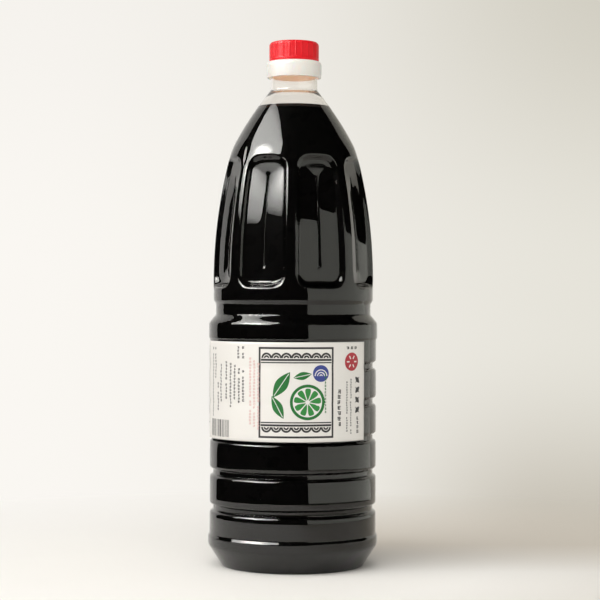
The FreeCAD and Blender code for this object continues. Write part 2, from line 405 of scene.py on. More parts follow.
@dataclass(frozen=True)
class SauceFinish(Finish):
    """Dark sauce, which shows its brown only where it thins out at the top."""

    level: float = 0.0
    thin_depth: float = 1.6
    thin_colour: Colour = (0.045, 0.014, 0.005)

    def base_colour(self, shader: Shader) -> bpy.types.NodeSocket:
        """The colour, which goes from brown at the surface to near black below.

        Args:
            shader: The material that is being made.

        Returns:
            The colour.
        """
        low = (self.level - self.thin_depth) * MM
        rise = shader.ranged(shader.split(shader.place)["Z"], 0.0, 1.0, low, self.level * MM)
        return shader.blend(rise, self.colour, self.thin_colour)


# ---- section helpers ----------------------------------------------------------------------

@dataclass(frozen=True)
class Corner:
    """A corner of a half section, with the radius that rounds it."""

    radius: float
    height: float
    rounding: float = 0.0

    @property
    def spot(self) -> Vector:
        """The corner as a flat vector."""
        return Vector((self.radius, self.height))


def rounded(corners: list[Corner], steps: int = 3) -> list[Point]:
    """Walks a half section from corner to corner, with an arc at each rounded one.

    Args:
        corners: The corners in order.
        steps: How many parts each arc has.

    Returns:
        The points of the section.
    """
    points = [tuple(corners[0].spot)]
    for before, corner, after in zip(corners, corners[1:], corners[2:]):
        if corner.rounding == 0.0:
            points.append(tuple(corner.spot))
            continue
        back = (before.spot - corner.spot).normalized()
        ahead = (after.spot - corner.spot).normalized()
        half = back.angle(ahead) / 2
        centre = corner.spot + (back + ahead).normalized() * (corner.rounding / math.sin(half))
        start = corner.spot + back * (corner.rounding / math.tan(half))
        spoke = start - centre
        turn = (math.pi - 2 * half) * math.copysign(1.0, back.cross(ahead))
        for step in range(steps + 1):
            points.append(tuple(centre + Matrix.Rotation(-turn * step / steps, 2) @ spoke))
    points.append(tuple(corners[-1].spot))
    return points


@dataclass(frozen=True)
class Bend:
    """An arc of a half section through three points."""

    start: Point
    middle: Point
    end: Point

    def circle(self) -> tuple[Vector, float]:
        """Finds the arc's circle.

        Returns:
            Its centre and its radius.
        """
        a, b, c = Vector(self.start), Vector(self.middle), Vector(self.end)
        twice = 2 * (a.x * (b.y - c.y) + b.x * (c.y - a.y) + c.x * (a.y - b.y))
        aa, bb, cc = a.length_squared, b.length_squared, c.length_squared
        centre = Vector((
            (aa * (b.y - c.y) + bb * (c.y - a.y) + cc * (a.y - b.y)) / twice,
            (aa * (c.x - b.x) + bb * (a.x - c.x) + cc * (b.x - a.x)) / twice,
        ))
        return centre, (a - centre).length

    def radius_at(self, height: float) -> float:
        """Returns how far from the axis an outward bulging arc is at a height."""
        centre, size = self.circle()
        return centre.x + math.sqrt(max(size ** 2 - (height - centre.y) ** 2, 0.0))

    def points(self, steps: int) -> list[Point]:
        """Walks along the arc.

        Args:
            steps: How many parts it has.

        Returns:
            The points, without the first.
        """
        centre, _ = self.circle()
        spokes = [Vector(spot) - centre for spot in (self.start, self.middle, self.end)]
        turn = -(spokes[0].angle_signed(spokes[1]) + spokes[1].angle_signed(spokes[2]))
        return [
            tuple(centre + Matrix.Rotation(turn * step / steps, 2) @ spokes[0])
            for step in range(1, steps + 1)
        ]


def around(angle: float, radius: float, height: float) -> Vector:
    """Returns the place at an angle round the bottle, in degrees from the front."""
    turn = math.radians(angle)
    return Vector((radius * math.sin(turn), -radius * math.cos(turn), height))


def smooth_step(value: float) -> float:
    """Returns a soft rise from 0 to 1."""
    share = min(max(value, 0.0), 1.0)
    return share * share * (3.0 - 2.0 * share)


def soft_max(first: float, second: float, softness: float) -> float:
    """Returns the larger of two values, with the change from one to the other rounded off."""
    share = min(max(0.5 + 0.5 * (first - second) / softness, 0.0), 1.0)
    return second * (1 - share) + first * share + softness * share * (1 - share)


# ---- mesh helpers -------------------------------------------------------------------------

def boundary_ring(mesh: bmesh.types.BMesh, height: float) -> list[bmesh.types.BMEdge]:
    """Finds the open edges at a height.

    Args:
        mesh: The mesh.
        height: The height.

    Returns:
        The edges.
    """
    return [
        edge for edge in mesh.edges
        if edge.is_boundary and all(abs(vert.co.z - height) < 0.05 for vert in edge.verts)
    ]


def grow_ring(mesh: bmesh.types.BMesh, edges: list[bmesh.types.BMEdge],
              move: Callable[[bmesh.types.BMVert], Vector]) -> list[bmesh.types.BMEdge]:
    """Extrudes a ring of edges and moves what it makes.

    Args:
        mesh: The mesh.
        edges: The ring to extrude.
        move: Says where each new corner goes.

    Returns:
        The new ring.
    """
    made = bmesh.ops.extrude_edge_only(mesh, edges=edges)["geom"]
    for vert in (item for item in made if isinstance(item, bmesh.types.BMVert)):
        vert.co = move(vert)
    return [item for item in made if isinstance(item, bmesh.types.BMEdge)]


def lathe(mesh: bmesh.types.BMesh, edges: list[bmesh.types.BMEdge],
          section: list[Point]) -> list[bmesh.types.BMEdge]:
    """Carries a round ring of edges along a half section.

    Args:
        mesh: The mesh.
        edges: The ring to start from.
        section: The points (radius, height) that it goes through.

    Returns:
        The last ring.
    """
    for radius, height in section:
        def move(vert: bmesh.types.BMVert) -> Vector:
            """Keeps the corner's direction from the axis."""
            share = radius / max(math.hypot(vert.co.x, vert.co.y), 1e-6)
            return Vector((vert.co.x * share, vert.co.y * share, height))
        edges = grow_ring(mesh, edges, move)
    return edges


def spun(section: list[Point], steps: int) -> bmesh.types.BMesh:
    """Turns a half section once round the axis.

    Args:
        section: Its points (radius, height).
        steps: How many parts the turn has.

    Returns:
        The mesh, with its seam and poles closed and its faces outward.
    """
    mesh = bmesh.new()
    verts = [mesh.verts.new((radius, 0.0, height)) for radius, height in section]
    edges = [mesh.edges.new(pair) for pair in zip(verts, verts[1:])]
    bmesh.ops.spin(
        mesh, geom=verts + edges, cent=ORIGIN, axis=UP, angle=math.tau, steps=steps, use_merge=True,
    )
    close_up(mesh)
    return mesh


def close_up(mesh: bmesh.types.BMesh, distance: float = 0.002) -> None:
    """Merges doubled corners and turns the faces outward.

    Args:
        mesh: The mesh.
        distance: How close two corners are to count as one.
    """
    bmesh.ops.remove_doubles(mesh, verts=mesh.verts[:], dist=distance)
    bmesh.ops.dissolve_degenerate(mesh, edges=mesh.edges[:], dist=distance / 4)
    bmesh.ops.recalc_face_normals(mesh, faces=mesh.faces[:])


def added(name: str, data: bpy.types.ID) -> bpy.types.Object:
    """Puts an object in the scene.

    Args:
        name: Its name.
        data: Its mesh, lamp or camera.

    Returns:
        The object.
    """
    made = bpy.data.objects.new(name, data)
    bpy.context.scene.collection.objects.link(made)
    return made


def as_object(mesh: bmesh.types.BMesh, name: str, finishes: list[bpy.types.Material]) -> bpy.types.Object:
    """Makes a mesh an object of the scene.

    Args:
        mesh: The mesh, which is used up.
        name: The object's name.
        finishes: Its materials.

    Returns:
        The object.
    """
    data = bpy.data.meshes.new(name)
    mesh.to_mesh(data)
    mesh.free()
    for finish in finishes:
        data.materials.append(finish)
    return added(name, data)


def finished(mesh: bmesh.types.BMesh, name: str, finishes: list[bpy.types.Material], node: str,
             slot: Slot) -> bpy.types.Object:
    """Makes a mesh in millimetres a piece in metres that rides on the bottle.

    Args:
        mesh: The mesh, which is used up.
        name: The piece's name.
        finishes: Its materials.
        node: The CAD node that it stands for.
        slot: The record's slot of its finish. It is not used.

    Returns:
        The piece.
    """
    bmesh.ops.scale(mesh, vec=(MM, MM, MM), verts=mesh.verts[:])
    for face in mesh.faces:
        face.smooth = True
    piece = as_object(mesh, name, finishes)
    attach(piece, "root")
    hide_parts(node)
    return piece


def subdivided(piece: bpy.types.Object, levels: int = 1) -> None:
    """Adds a subdivision surface with the same levels for view and render.

    Args:
        piece: The piece.
        levels: How many times its faces are split.
    """
    smooth = piece.modifiers.new("smooth", "SUBSURF")
    smooth.levels = levels
    smooth.render_levels = levels


def report(piece: bpy.types.Object) -> None:
    """Logs a piece's name and how many faces its cage has."""
    log.info("%s: %d faces", piece.name, len(piece.data.polygons))


# ---- the bottle ---------------------------------------------------------------------------

@dataclass(frozen=True)
class RibbedDrum:
    """The lower half of the bottle: foot, bumper, ribs, label ridge, waist and plain band."""

    foot_radius: float = 43.06
    foot_ring_width: float = 3.44
    foot_round: float = 1.21
    dome_height: float = 9.6
    dome_top_radius: float = 12.13
    dome_flat: tuple[float, ...] = (0.0, 0.33, 0.66, 1.0)
    dome_parts: int = 7
    dome_bulge: float = 1.62
    bumper_radius: float = 51.6
    bumper_low: float = 13.04
    bumper_low_round: float = 4.5
    bumper_high: float = 18.3
    bumper_top: float = 19.8
    bumper_round: float = 1.2
    radius: float = 50.74
    groove_heights: tuple[float, ...] = (35.68, 57.41, 78.54, 100.17, 121.7)
    groove_depth: float = 2.02
    groove_floor: float = 2.26
    groove_floor_round: float = 0.3
    groove_round: float = 1.9
    groove_angle: float = 55.0
    ridge_radius: float = 51.4
    ridge_foot: float = 137.3
    ridge_low: float = 138.4
    ridge_high: float = 147.4
    ridge_round: float = 4.0
    waist_radius: float = 47.2
    waist_low: float = 152.3
    waist_high: float = 158.6
    waist_round: float = 1.8
    band_radius: float = 48.67
    band_low: float = 161.0
    small_round: float = 0.81

    def groove(self, height: float) -> list[Corner]:
        """The corners of one groove.

        Args:
            height: The height of its middle.

        Returns:
            The corners from the low rib to the high one.
        """
        lean = math.radians(self.groove_angle)
        half_floor = self.groove_floor / 2 + self.groove_floor_round * math.tan(lean / 2)
        half_mouth = half_floor + self.groove_depth / math.tan(lean)
        floor = self.radius - self.groove_depth
        return [
            Corner(self.radius, height - half_mouth, self.groove_round),
            Corner(floor, height - half_floor, self.groove_floor_round),
            Corner(floor, height + half_floor, self.groove_floor_round),
            Corner(self.radius, height + half_mouth, self.groove_round),
        ]

    def underside(self) -> list[Point]:
        """The domed underside, from its top out to the standing ring.

        Returns:
            Its points.
        """
        ring = self.foot_radius - self.foot_ring_width
        middle = (
            (self.dome_top_radius + ring) / 2 + self.dome_bulge,
            self.dome_height / 2 + self.dome_bulge,
        )
        dome = Bend((self.dome_top_radius, self.dome_height), middle, (ring, 0.0))
        flat = [(share * self.dome_top_radius, self.dome_height) for share in self.dome_flat]
        return flat + dome.points(self.dome_parts)

    def section(self, top: float) -> list[Point]:
        """The half section from the middle of the underside up to the plain band.

        Args:
            top: The height where the section ends.

        Returns:
            Its points.
        """
        ring = self.foot_radius - self.foot_ring_width
        corners = [
            Corner(ring, 0.0),
            Corner(self.foot_radius, 0.0, self.foot_round),
            Corner(self.bumper_radius, self.bumper_low, self.bumper_low_round),
            Corner(self.bumper_radius, self.bumper_high, self.bumper_round),
            Corner(self.radius, self.bumper_top, self.bumper_round),
        ]
        for height in self.groove_heights:
            corners += self.groove(height)
        corners += [
            Corner(self.radius, self.ridge_foot, self.small_round),
            Corner(self.ridge_radius, self.ridge_low, self.small_round),
            Corner(self.ridge_radius, self.ridge_high, self.ridge_round),
            Corner(self.waist_radius, self.waist_low, self.waist_round),
            Corner(self.waist_radius, self.waist_high, self.waist_round),
            Corner(self.band_radius, self.band_low, self.waist_round),
            Corner(self.band_radius, top),
        ]
        return self.underside() + rounded(corners)[1:]


@dataclass(frozen=True)
class Shoulder:
    """The upper half of the bottle: the long curved side, the shoulder dome and the neck."""

    start: float = 172.85
    band_radius: float = 48.67
    side_arc_radius: float = 301.22
    side_top: float = 250.68
    edge: Point = (37.8, 252.8)
    dome_start: Point = (36.59, 255.23)
    dome_middle: Point = (27.9, 270.19)
    dome_end: Point = (14.5, 288.58)
    neck_blend: Point = (14.32, 288.82)
    neck_radius: float = 14.25
    neck_start: float = 289.05
    neck_top: float = 304.8
    bead: float = 292.5
    bead_shape: tuple[Point, ...] = ((-1.4, 0.0), (-0.7, 0.5), (0.0, 1.0), (0.7, 0.5), (1.4, 0.0))
    bead_out: float = 0.05
    neck_middles: tuple[float, ...] = (296.0, 300.0)
    dome_parts: int = 12
    throat_parts: int = 4

    def side(self, height: float) -> float:
        """Returns the radius of the long curved side at a height."""
        rise = height - self.start
        return self.band_radius - self.side_arc_radius + math.sqrt(self.side_arc_radius ** 2 - rise ** 2)

    def radius_at(self, height: float) -> float:
        """The radius without panels.

        Args:
            height: A height between the waist and the middle of the dome.

        Returns:
            The radius.
        """
        if height <= self.start:
            return self.band_radius
        if height <= self.side_top:
            return self.side(height)
        if height <= self.dome_start[1]:
            side_end = (self.side(self.side_top), self.side_top)
            return Bend(side_end, self.edge, self.dome_start).radius_at(height)
        return Bend(self.dome_start, self.dome_middle, self.dome_end).radius_at(height)

    def section(self, bottom: float) -> list[Point]:
        """The half section above the panels, up to the mouth.

        Args:
            bottom: The height where it starts, on the dome.

        Returns:
            Its points, without the first.
        """
        _, dome_end_z = self.dome_end
        rise = (dome_end_z - bottom) / self.dome_parts
        heights = [bottom + rise * part for part in range(1, self.dome_parts + 1)]
        dome = [(self.radius_at(height), height) for height in heights]
        throat = Bend(self.dome_end, self.neck_blend, (self.neck_radius, self.neck_start))
        bead = [
            (self.neck_radius + self.bead_out * out, self.bead + rise)
            for rise, out in self.bead_shape
        ]
        neck = [(self.neck_radius, height) for height in (*self.neck_middles, self.neck_top)]
        return dome + throat.points(self.throat_parts) + bead + neck


@dataclass(frozen=True)
class PanelRing:
    """The ring of sunk panels, each folded along its middle with a hip at either end."""

    shoulder: Shoulder
    count: int = 8
    phase: float = -1.4
    half_angle: float = 18.1
    low: float = 169.01
    high: float = 246.5
    corner: float = 7.4
    corner_tightening: float = 0.62
    step: float = 2.18
    low_step: float = 2.72
    high_step: float = 1.62
    fold_angle: float = 6.0
    fullness: float = 0.25
    low_hip: float = 181.34
    high_hip: float = 235.0
    hip_softness: float = 0.3
    groove_depth: float = 0.38
    groove_width: float = 0.36
    dimple_depth: float = 0.3
    dimple_radius: float = 0.9
    bottom: float = 164.6
    top: float = 255.4
    wall_start: float = -1.1
    wall_end: float = 2.7
    wall_rings: tuple[float, ...] = (-1.6, -0.9, -0.1, 0.8, 1.7, 2.5, 3.2)
    floor_rings: tuple[float, ...] = (0.3, 0.6, 0.85, 0.94, 0.972, 0.988, 1.0)
    across: int = 8
    upward: int = 14
    corner_parts: int = 2

    def crease(self, height: float) -> float:
        """Returns how far the fold lies from the axis at a height.

        Args:
            height: The height.

        Returns:
            The distance along the panel's middle direction.
        """
        half = math.radians(self.half_angle)
        side = self.shoulder.side(height)
        drop = side * math.sin(half) * math.tan(math.radians(self.fold_angle))
        return side * math.cos(half) - self.step - drop

    def hip(self, height: float, fold_end: float, rim: float, step: float) -> float:
        """Returns how far a hip lies from the axis at a height.

        Args:
            height: The height.
            fold_end: The height where the fold meets the hip.
            rim: The height where the hip meets the panel's wall.
            step: How deep the wall is there.

        Returns:
            The distance along the panel's middle direction.
        """
        inner = self.crease(fold_end)
        outer = self.shoulder.side(rim) * math.cos(math.radians(self.half_angle)) - step
        return inner + (outer - inner) * (height - fold_end) / (rim - fold_end)

    def floor(self, across: float, height: float) -> float:
        """The panel's floor.

        Args:
            across: How far sideways from the panel's middle.
            height: The height.

        Returns:
            How far out the floor lies along the panel's middle direction.
        """
        folded = self.crease(height) + abs(across) * math.tan(math.radians(self.fold_angle))
        half_width = self.shoulder.side(height) * math.sin(math.radians(self.half_angle))
        share = min(abs(across) / half_width, 1.0)
        folded += 4 * self.fullness * share * (1 - share)
        low_hip = self.hip(height, self.low_hip, self.low, self.low_step)
        high_hip = self.hip(height, self.high_hip, self.high, self.high_step)
        surface = soft_max(soft_max(folded, low_hip, self.hip_softness), high_hip, self.hip_softness)
        beyond = max(self.low_hip - height, height - self.high_hip, 0.0)
        nearness = math.exp(-(math.hypot(across, beyond) / self.groove_width) ** 2)
        dimple = math.exp(-(math.hypot(across, height - self.low_hip) / self.dimple_radius) ** 2)
        return surface - self.groove_depth * nearness - self.dimple_depth * dimple

    def sunk_share(self, inset: float) -> float:
        """Returns how far down the wall a ring at an inset from the outline is, from 0 to 1."""
        return smooth_step((inset - self.wall_start) / (self.wall_end - self.wall_start))

    def station(self, index: int) -> tuple[float, float, float, float]:
        """Where a corner of a ring lies on a rounded outline.

        Args:
            index: The corner's number, from the low left corner, anticlockwise.

        Returns:
            The side it is on (-1 to 1 across, and the same up), and how far round a corner it is,
            as the cosine and sine of its angle there, or 0 and 0 on a straight stretch.
        """
        sides = (
            (self.across, Vector((1, 0)), Vector((-1, -1))),
            (self.upward, Vector((0, 1)), Vector((1, -1))),
            (self.across, Vector((-1, 0)), Vector((1, 1))),
            (self.upward, Vector((0, -1)), Vector((-1, 1))),
        )
        for parts, along, origin in sides:
            if index < parts:
                break
            index -= parts
        outward = Vector((along.y, -along.x))
        straight = parts - 2 * self.corner_parts
        share = min(max((index - self.corner_parts) / straight, 0.0), 1.0)
        before = max(self.corner_parts - index, 0) / self.corner_parts
        after = max(index - parts + self.corner_parts, 0) / self.corner_parts
        turn = (after - before) * math.pi / 4
        spot = origin + along * 2 * share
        bulge = outward * math.cos(turn) + along * math.sin(turn)
        return spot.x, spot.y, bulge.x, bulge.y

    def outline(self, index: int, inset: float) -> Point:
        """A corner's place on the panel's rounded outline.

        Args:
            index: The corner's number.
            inset: How far inside the panel's nominal outline the ring lies.

        Returns:
            How far across and how high.
        """
        across, upward, bulge_across, bulge_up = self.station(index)
        corner = self.corner - self.corner_tightening * inset
        low = self.low + inset
        high = self.high - inset
        middle = (low + high) / 2
        height = middle + upward * ((high - low) / 2 - corner) + bulge_up * corner
        half = self.shoulder.side(height) * math.sin(math.radians(self.half_angle)) - inset
        return across * (half - corner) + bulge_across * corner, height

    def border(self, index: int) -> Point:
        """A corner's place on the edge of the sector.

        Args:
            index: The corner's number.

        Returns:
            How far across and how high.
        """
        half_sector = 180 / self.count
        ends = (self.across, self.across + self.upward, 2 * self.across + self.upward)
        if index <= ends[0]:
            share, height = index / self.across, self.bottom
        elif index < ends[1]:
            share, height = 1.0, self.outline(index, 0.0)[1]
        elif index <= ends[2]:
            share, height = 1.0 - (index - ends[1]) / self.across, self.top
        else:
            share, height = 0.0, self.outline(index, 0.0)[1]
        angle = math.radians(half_sector * (2 * share - 1))
        return self.shoulder.radius_at(height) * math.sin(angle), height

    def fold_spot(self, index: int) -> Point:
        """Returns the spot of the fold that a corner of a ring ends on.

        Args:
            index: The corner's number.

        Returns:
            How far across and how high.
        """
        _, height = self.outline(index, self.wall_rings[-1])
        low = self.low + self.wall_rings[-1] + self.corner
        high = self.high - self.wall_rings[-1] - self.corner
        share = min(max((height - low) / (high - low), 0.0), 1.0)
        return 0.0, self.low_hip + (self.high_hip - self.low_hip) * share

    def placed(self, across: float, height: float, sunk: float) -> Vector:
        """A place on the panel that faces the front.

        Args:
            across: How far sideways from the panel's middle.
            height: The height.
            sunk: How far down the wall it is, from 0 to 1.

        Returns:
            The place.
        """
        outside = math.sqrt(self.shoulder.radius_at(height) ** 2 - across ** 2)
        depth = outside + (self.floor(across, height) - outside) * sunk
        return Vector((across, -depth, height))

    def rings(self) -> list[Callable[[int], Vector]]:
        """The rings of one sector, from its edge in to the fold, as functions of a corner's number.

        Returns:
            The functions.
        """
        def edge(index: int) -> Vector:
            """The edge of the sector."""
            return self.placed(*self.border(index), 0.0)

        def between(index: int) -> Vector:
            """Halfway from the edge to the lip."""
            rim = Vector(self.outline(index, self.wall_rings[0]))
            return self.placed(*Vector(self.border(index)).lerp(rim, 0.5), 0.0)

        def wall(index: int, inset: float) -> Vector:
            """On the panel's wall, at an inset from its outline."""
            return self.placed(*self.outline(index, inset), self.sunk_share(inset))

        def floor(index: int, share: float) -> Vector:
            """On the panel's floor, at a share of the way in to the fold."""
            rim = Vector(self.outline(index, self.wall_rings[-1]))
            return self.placed(*rim.lerp(Vector(self.fold_spot(index)), share), 1.0)

        made = [edge, between]
        made += [partial(wall, inset=inset) for inset in self.wall_rings]
        made += [partial(floor, share=share) for share in self.floor_rings]
        return made

    def build(self) -> bmesh.types.BMesh:
        """Builds the whole ring of panels.

        Returns:
            Its mesh, open at the bottom and the top.
        """
        mesh = bmesh.new()
        number = mesh.verts.layers.int.new("number")
        corners = 2 * (self.across + self.upward)
        circle = bmesh.ops.create_circle(mesh, segments=corners, radius=1.0)["verts"]
        for index, vert in enumerate(circle):
            vert[number] = index
        edges = mesh.edges[:]
        rings = self.rings()
        for vert in circle:
            vert.co = rings[0](vert[number])
        for ring in rings[1:]:
            edges = grow_ring(mesh, edges, lambda vert, ring=ring: ring(vert[number]))
        bmesh.ops.remove_doubles(mesh, verts=mesh.verts[:], dist=0.01)
        sector = math.tau / self.count
        start = math.radians(self.phase) + sector / 2
        bmesh.ops.rotate(mesh, verts=mesh.verts[:], cent=ORIGIN, matrix=Matrix.Rotation(start, 3, "Z"))
        bmesh.ops.spin(
            mesh, geom=mesh.verts[:] + mesh.edges[:] + mesh.faces[:], cent=ORIGIN, axis=UP,
            angle=math.tau - sector, steps=self.count - 1, use_duplicate=True,
        )
        bmesh.ops.remove_doubles(mesh, verts=mesh.verts[:], dist=0.01)
        return mesh


@dataclass
class Bottle:
    """The clear bottle and the sauce in it."""

    drum: RibbedDrum = field(default_factory=RibbedDrum)
    shoulder: Shoulder = field(default_factory=Shoulder)
    wall: float = 0.4
    neck_wall: float = 1.0
    thick_start: float = 286.4
    thick_end: float = 289.0
    sauce_into_wall: float = 0.5
    meniscus: float = 1.1
    meniscus_width: float = 1.3
    meniscus_rings: tuple[float, ...] = (0.35, 0.9, 1.8, 3.2, 6.0, 12.0)
    clear: Finish = Finish(
        "clear_plastic", (1.0, 0.985, 0.965), 0.02, ior=1.57, mottle=0.01, mottle_size=30.0,
        roughness_spread=0.012, relief_size=26.0, relief_depth=0.008, transmission=1.0,
    )
    level: float = field(init=False)

    def __post_init__(self) -> None:
        """Reads the level of the sauce from the frame."""
        self.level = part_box("sauce")[1].z / MM

    def outside(self) -> bmesh.types.BMesh:
        """Builds the outside of the bottle as one sheet, closed at the foot and open at the mouth.

        Returns:
            Its mesh.
        """
        panels = PanelRing(self.shoulder)
        mesh = panels.build()
        low = boundary_ring(mesh, panels.bottom)
        high = boundary_ring(mesh, panels.top)
        lathe(mesh, low, self.drum.section(panels.bottom)[-2::-1])
        lathe(mesh, high, self.shoulder.section(panels.top))
        close_up(mesh)
        return mesh

    def wall_at(self, height: float) -> float:
        """Returns how thick the wall is at a height."""
        share = smooth_step((height - self.thick_start) / (self.thick_end - self.thick_start))
        return self.wall + (self.neck_wall - self.wall) * share

    def make_shell(self) -> bpy.types.Object:
        """Makes the bottle itself.

        Returns:
            The piece.
        """
        mesh = self.outside()
        weights = mesh.verts.layers.deform.verify()
        for vert in mesh.verts:
            vert[weights][0] = self.wall_at(vert.co.z) / self.neck_wall
        piece = finished(mesh, "bottle_shell", [self.clear.material()], "bottle", Slot.CLEAR_PLASTIC)
        piece.vertex_groups.new(name="wall")
        subdivided(piece)
        thick = piece.modifiers.new("wall", "SOLIDIFY")
        thick.thickness = self.neck_wall * MM
        thick.offset = -1.0
        thick.vertex_group = "wall"
        return piece

    def make_sauce(self) -> bpy.types.Object:
        """Makes the sauce, which reaches just into the wall so that no gap shows.

        Returns:
            The piece.
        """
        mesh = self.outside()
        mesh.normal_update()
        for vert in mesh.verts:
            vert.co -= vert.normal * self.wall_at(vert.co.z) * self.sauce_into_wall
        rim = self.level
        flat = rim - self.meniscus
        bmesh.ops.bisect_plane(
            mesh, geom=mesh.verts[:] + mesh.edges[:] + mesh.faces[:], dist=0.0001,
            plane_co=(0.0, 0.0, rim), plane_no=UP, clear_outer=True,
        )
        edges = boundary_ring(mesh, rim)
        reach = max(math.hypot(*vert.co.xy) for edge in edges for vert in edge.verts)
        section = [
            (reach - inward, flat + self.meniscus * math.exp(-inward / self.meniscus_width))
            for inward in self.meniscus_rings
        ]
        lathe(mesh, edges, section + [(0.0, flat)])
        close_up(mesh)
        sauce = SauceFinish(
            "dark_sauce", (0.0012, 0.0011, 0.001), 0.3, ior=1.08, mottle=0.2, mottle_size=20.0,
            relief_depth=0.0, level=rim,
        )
        top = Finish(
            "sauce_top", (0.012, 0.005, 0.003), 0.04, ior=1.33, roughness_spread=0.02, relief_depth=0.0,
        )
        piece = finished(mesh, "sauce_fill", [sauce.material(), top.material()], "sauce", Slot.SAUCE)
        for face in piece.data.polygons:
            if face.center.z > (flat - 0.1) * MM and face.normal.z > 0.5:
                face.material_index = 1
        subdivided(piece)
        return piece


# ---- the label ----------------------------------------------------------------------------

class Ink(Enum):
    """The inks of the label's print, each with its colour."""

    BLACK = (0.035, 0.034, 0.036)
    GREEN = (0.012, 0.17, 0.03)
    LEAF = (0.03, 0.26, 0.05)
    BLUE = (0.04, 0.06, 0.28)
    RED = (0.45, 0.03, 0.045)
    PINK = (0.74, 0.5, 0.47)
    WHITE = (0.83, 0.82, 0.8)


